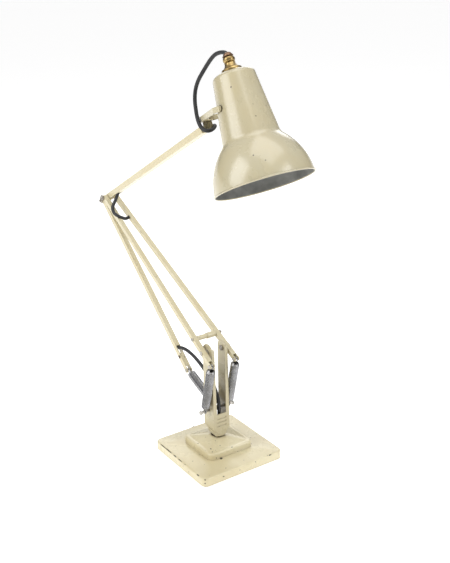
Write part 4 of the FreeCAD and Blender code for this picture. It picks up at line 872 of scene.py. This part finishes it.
# %% Wind the middle spring
UPPER_SHARE = 0.68
middle_place, middle_length = spring_place(hook_pin, anchor)
split = (round(middle_length * UPPER_SHARE / WIRE) + 0.5) * WIRE
upper = [(wound(split, True, False), middle_place)]
upper_coil = piece("middle_coil_upper", upper, None, spring_steel, "middle_spring_upper")
lower_start = middle_place @ Matrix.Translation((0, 0, split * MM))
lower = [(wound(middle_length - split, False, True), lower_start)]
lower_coil = piece("middle_coil_lower", lower, None, spring_steel, "middle_spring_lower")
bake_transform(upper_coil)
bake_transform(lower_coil)
print("middle spring is", round(middle_length), "mm long between its hooks")

# %% [markdown]
# ## Screws, nuts and rivets
# The pivots are screws with dull slotted heads. The long bolts end in six-sided nuts with the thread
# standing a little proud. They are small, but each breaks up a plain bar and shows how the lamp is put
# together.

# %% Helpers for heads and nuts
CLOSE = 0.01
NUT_EDGE = 0.45
THREAD_EDGE = 0.4


def upright_bar(bm, sides, radius, height):
    """Adds a round or many-sided bar that stands on the plane z = 0."""
    middle = Matrix.Translation((0, 0, height / 2))
    return bmesh.ops.create_cone(
        bm, cap_ends=True, segments=sides, radius1=radius, radius2=radius, depth=height, matrix=middle
    )


def round_edges(bm, edges, offset, segments=2):
    bmesh.ops.bevel(
        bm, geom=edges, offset=offset, segments=segments, profile=0.5, affect="EDGES", material=-1
    )


def slotted_head(radius, height, slot_width, slot_depth, round_over=0.6):
    """A cheese head on the plane z = 0, with a slot across its top."""
    bm = bmesh.new()
    upright_bar(bm, 40, radius, height)
    top_edges = [e for e in bm.edges if all(v.co.z > height - CLOSE for v in e.verts)]
    round_edges(bm, top_edges, round_over, segments=3)
    for offset in (-slot_width / 2, slot_width / 2):
        top = [f for f in bm.faces if f.calc_center_median().z > height - CLOSE]
        geometry = top + [e for f in top for e in f.edges] + [v for f in top for v in f.verts]
        bmesh.ops.bisect_plane(bm, geom=list(set(geometry)), plane_co=(0, offset, 0), plane_no=(0, 1, 0))
    strip = [
        f for f in bm.faces
        if f.calc_center_median().z > height - CLOSE and abs(f.calc_center_median().y) < slot_width / 2
    ]
    sunk = bmesh.ops.extrude_face_region(bm, geom=strip)
    bmesh.ops.delete(bm, geom=strip, context="FACES_ONLY")
    moved = [g for g in sunk["geom"] if isinstance(g, bmesh.types.BMVert)]
    bmesh.ops.translate(bm, verts=moved, vec=(0, 0, -slot_depth))
    return bm


def hex_nut(width, height, bolt_radius, proud):
    """A six-sided nut on the plane z = 0, with the end of its bolt standing proud."""
    bm = bmesh.new()
    upright_bar(bm, 6, width / 2 / math.cos(math.pi / 6), height)
    rims = [e for e in bm.edges if abs(e.verts[0].co.z - e.verts[1].co.z) < CLOSE]
    round_edges(bm, rims, NUT_EDGE)
    thread = upright_bar(bm, 28, bolt_radius, height + proud)
    tops = {e for v in thread["verts"] if v.co.z > height for e in v.link_edges}
    tip_edges = [e for e in tops if all(v.co.z > height + proud - CLOSE for v in e.verts)]
    round_edges(bm, tip_edges, THREAD_EDGE)
    return bm


# %% [markdown]
# A head sits on the outer face of what it holds, and its slot stops at whatever angle it was left. The
# pivots show their slotted ends inside the fork. The heads of the shade's screws are painted over, and
# their nuts are bare.

# %% Fit the heads and nuts
FRONT, REAR = -1, 1
FORK_WALL = 2.0
NUT_INSIDE = 2.6
SHADE_NUT_IN = 6.2
SHADE_HEAD = 1.2
SWIVEL_SUNK = 1.7


def facing(point, side, turn):
    """A place on a side face of the lamp, with Z pointing outwards along Y, turned about Z by an angle."""
    z = Vector((0, side, 0))
    x = Vector((1, 0, 0))
    y = z.cross(x)
    upright = Matrix((x, y, z)).transposed().to_4x4()
    return Matrix.Translation(point) @ upright @ Matrix.Rotation(turn, 4, "Z")


def on_side(node_name, side, depth):
    """The middle of a node's outer face on one side, moved inwards by a depth in millimetres."""
    low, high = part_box(node_name)
    middle = (low + high) / 2
    reach = high.y if side > 0 else low.y
    return Vector((middle.x, reach - side * depth * MM, middle.z))


def fit(name, ends, body, node):
    """Fits plated heads and nuts to the ends of a node's screws or bolts."""
    return piece(name, ends, body, plated_steel, node)


inner_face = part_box("fork")[1].y - FORK_WALL * MM
pivot_heads = []
for side, slot_turn in ((FRONT, 0.6), (REAR, -0.4)):
    point = Vector((fork_pivot.x, side * inner_face, fork_pivot.z))
    pivot_heads.append((slotted_head(4.4, NUT_INSIDE, 1.1, 0.9), facing(point, -side, slot_turn)))
fit("pivot_screw_heads", pivot_heads, "fork", "pivot_nuts")

elbow_ends = [
    (hex_nut(9.0, 3.6, 2.6, 1.6), facing(on_side("elbow_bolt", FRONT, 3.0), FRONT, 0.3)),
    (hex_nut(9.0, 3.0, 2.6, 0.0), facing(on_side("elbow_bolt", REAR, 3.0), REAR, 0.1)),
]
fit("elbow_nut_and_head", elbow_ends, "lower_arm", "elbow_bolt")

tail_ends = [
    (hex_nut(7.4, 3.0, 2.1, 1.8), facing(on_side("tail_bolt", FRONT, 2.4), FRONT, 0.5)),
    (slotted_head(4.0, 2.4, 1.0, 0.8), facing(on_side("tail_bolt", REAR, 2.4), REAR, 0.9)),
]
fit("tail_nut_and_head", tail_ends, "upper_arm", "tail_bolt")

cross_ends = [
    (slotted_head(2.7, 1.6, 0.8, 0.6, 0.35), facing(on_side("cross_bolt", FRONT, 2.4), FRONT, 0.2)),
    (hex_nut(6.8, 3.0, 1.9, 1.5), facing(on_side("cross_bolt", REAR, 2.4), REAR, 0.4)),
]
fit("cross_bolt_ends", cross_ends, "lower_arm", "cross_bolt")

shade_ends = []
for side, slot_turn in ((FRONT, 0.9), (REAR, 0.2)):
    outer = on_side("shade_screws", side, 1.0)
    inner = Vector((outer.x, side * (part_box("shade_washers")[1].y - SHADE_NUT_IN * MM), outer.z))
    shade_ends.append((slotted_head(2.8, 1.0, 0.7, 0.5, 0.35), facing(outer, side, slot_turn)))
    shade_ends.append((hex_nut(6.6, 2.8, 1.9, 1.0), facing(inner, -side, 0.5)))
shade_screws = fit("shade_screw_ends", shade_ends, "shade", "shade_screws")
shade_screws.data.materials.append(arm_paint)
painted_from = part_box("shade_screws")[1].y - SHADE_HEAD * MM
for polygon in shade_screws.data.polygons:
    polygon.material_index = int(abs(polygon.center.y) > painted_from)

swivel_top = yoke_frame @ Matrix.Translation((0, 0, -SWIVEL_SUNK * MM))
fit("swivel_screw_head", [(slotted_head(4.5, 2.2, 1.0, 0.9, 0.9), swivel_top)], "upper_arm", "swivel_screw")
print("heads and nuts fitted")

# %% [markdown]
# ## Dress the solids
# Every solid that no modelled piece stands for keeps its own shape and gets a finish here. The solids that
# are stood for get theirs as well, so that they look right if they are ever shown. The frame came with
# plain materials named plated_steel, black_rubber, dark_plastic and felt. Those four names find the frame's
# own materials, so the solids listed under them wear the plain ones.

# %% Put the finishes on the solids
FINISHES = {
    "cream_gloss_base": ["base_casting"],
    "cream_gloss_fork": ["fork", "yoke"],
    "cream_gloss_arms": ["lower_bar_front", "lower_bar_rear", "cross_tube", "upper_arm", "tie_bar"],
    "cream_gloss_shade": ["shade"],
    "spring_steel": [
        "spring_front", "spring_rear", "spring_lower_hooks", "spring_upper_hooks", "middle_spring_lower",
        "middle_spring_upper", "middle_lower_hook", "middle_upper_hook",
    ],
    "plated_steel": [
        "anchor_pin", "pivot_bolts", "pivot_nuts", "pivot_spacers", "cross_bolt", "tail_pins", "elbow_bolt",
        "tail_bolt", "hook_pin", "swivel_screw", "shade_screws", "spring_washer", "spindle_nut",
    ],
    "dark_steel": ["tie_bar_rivet", "shade_washers", "spindle", "thrust_washer"],
    "olive_paint_and_shade": ["arm_end_knuckle"],
    "aged_brass": ["lampholder_cap", "lampholder_body", "shade_ring", "contact_plungers"],
    "black_rubber": ["outlet_grommet", "head_cord", "elbow_cord", "arm_cord", "tie_bar_cord", "lower_cord"],
    "dark_plastic": ["cord_grip", "contact_block"],
    "felt": ["base_pad"],
}


def coat(thing, material):
    thing.data.materials.clear()
    thing.data.materials.append(material)


for finish, names in FINISHES.items():
    for name in names:
        coat(nodes[name], bpy.data.materials[finish])
for cord in cords:
    coat(cord, black_rubber)
print("finishes on", sum(len(names) for names in FINISHES.values()), "solids")
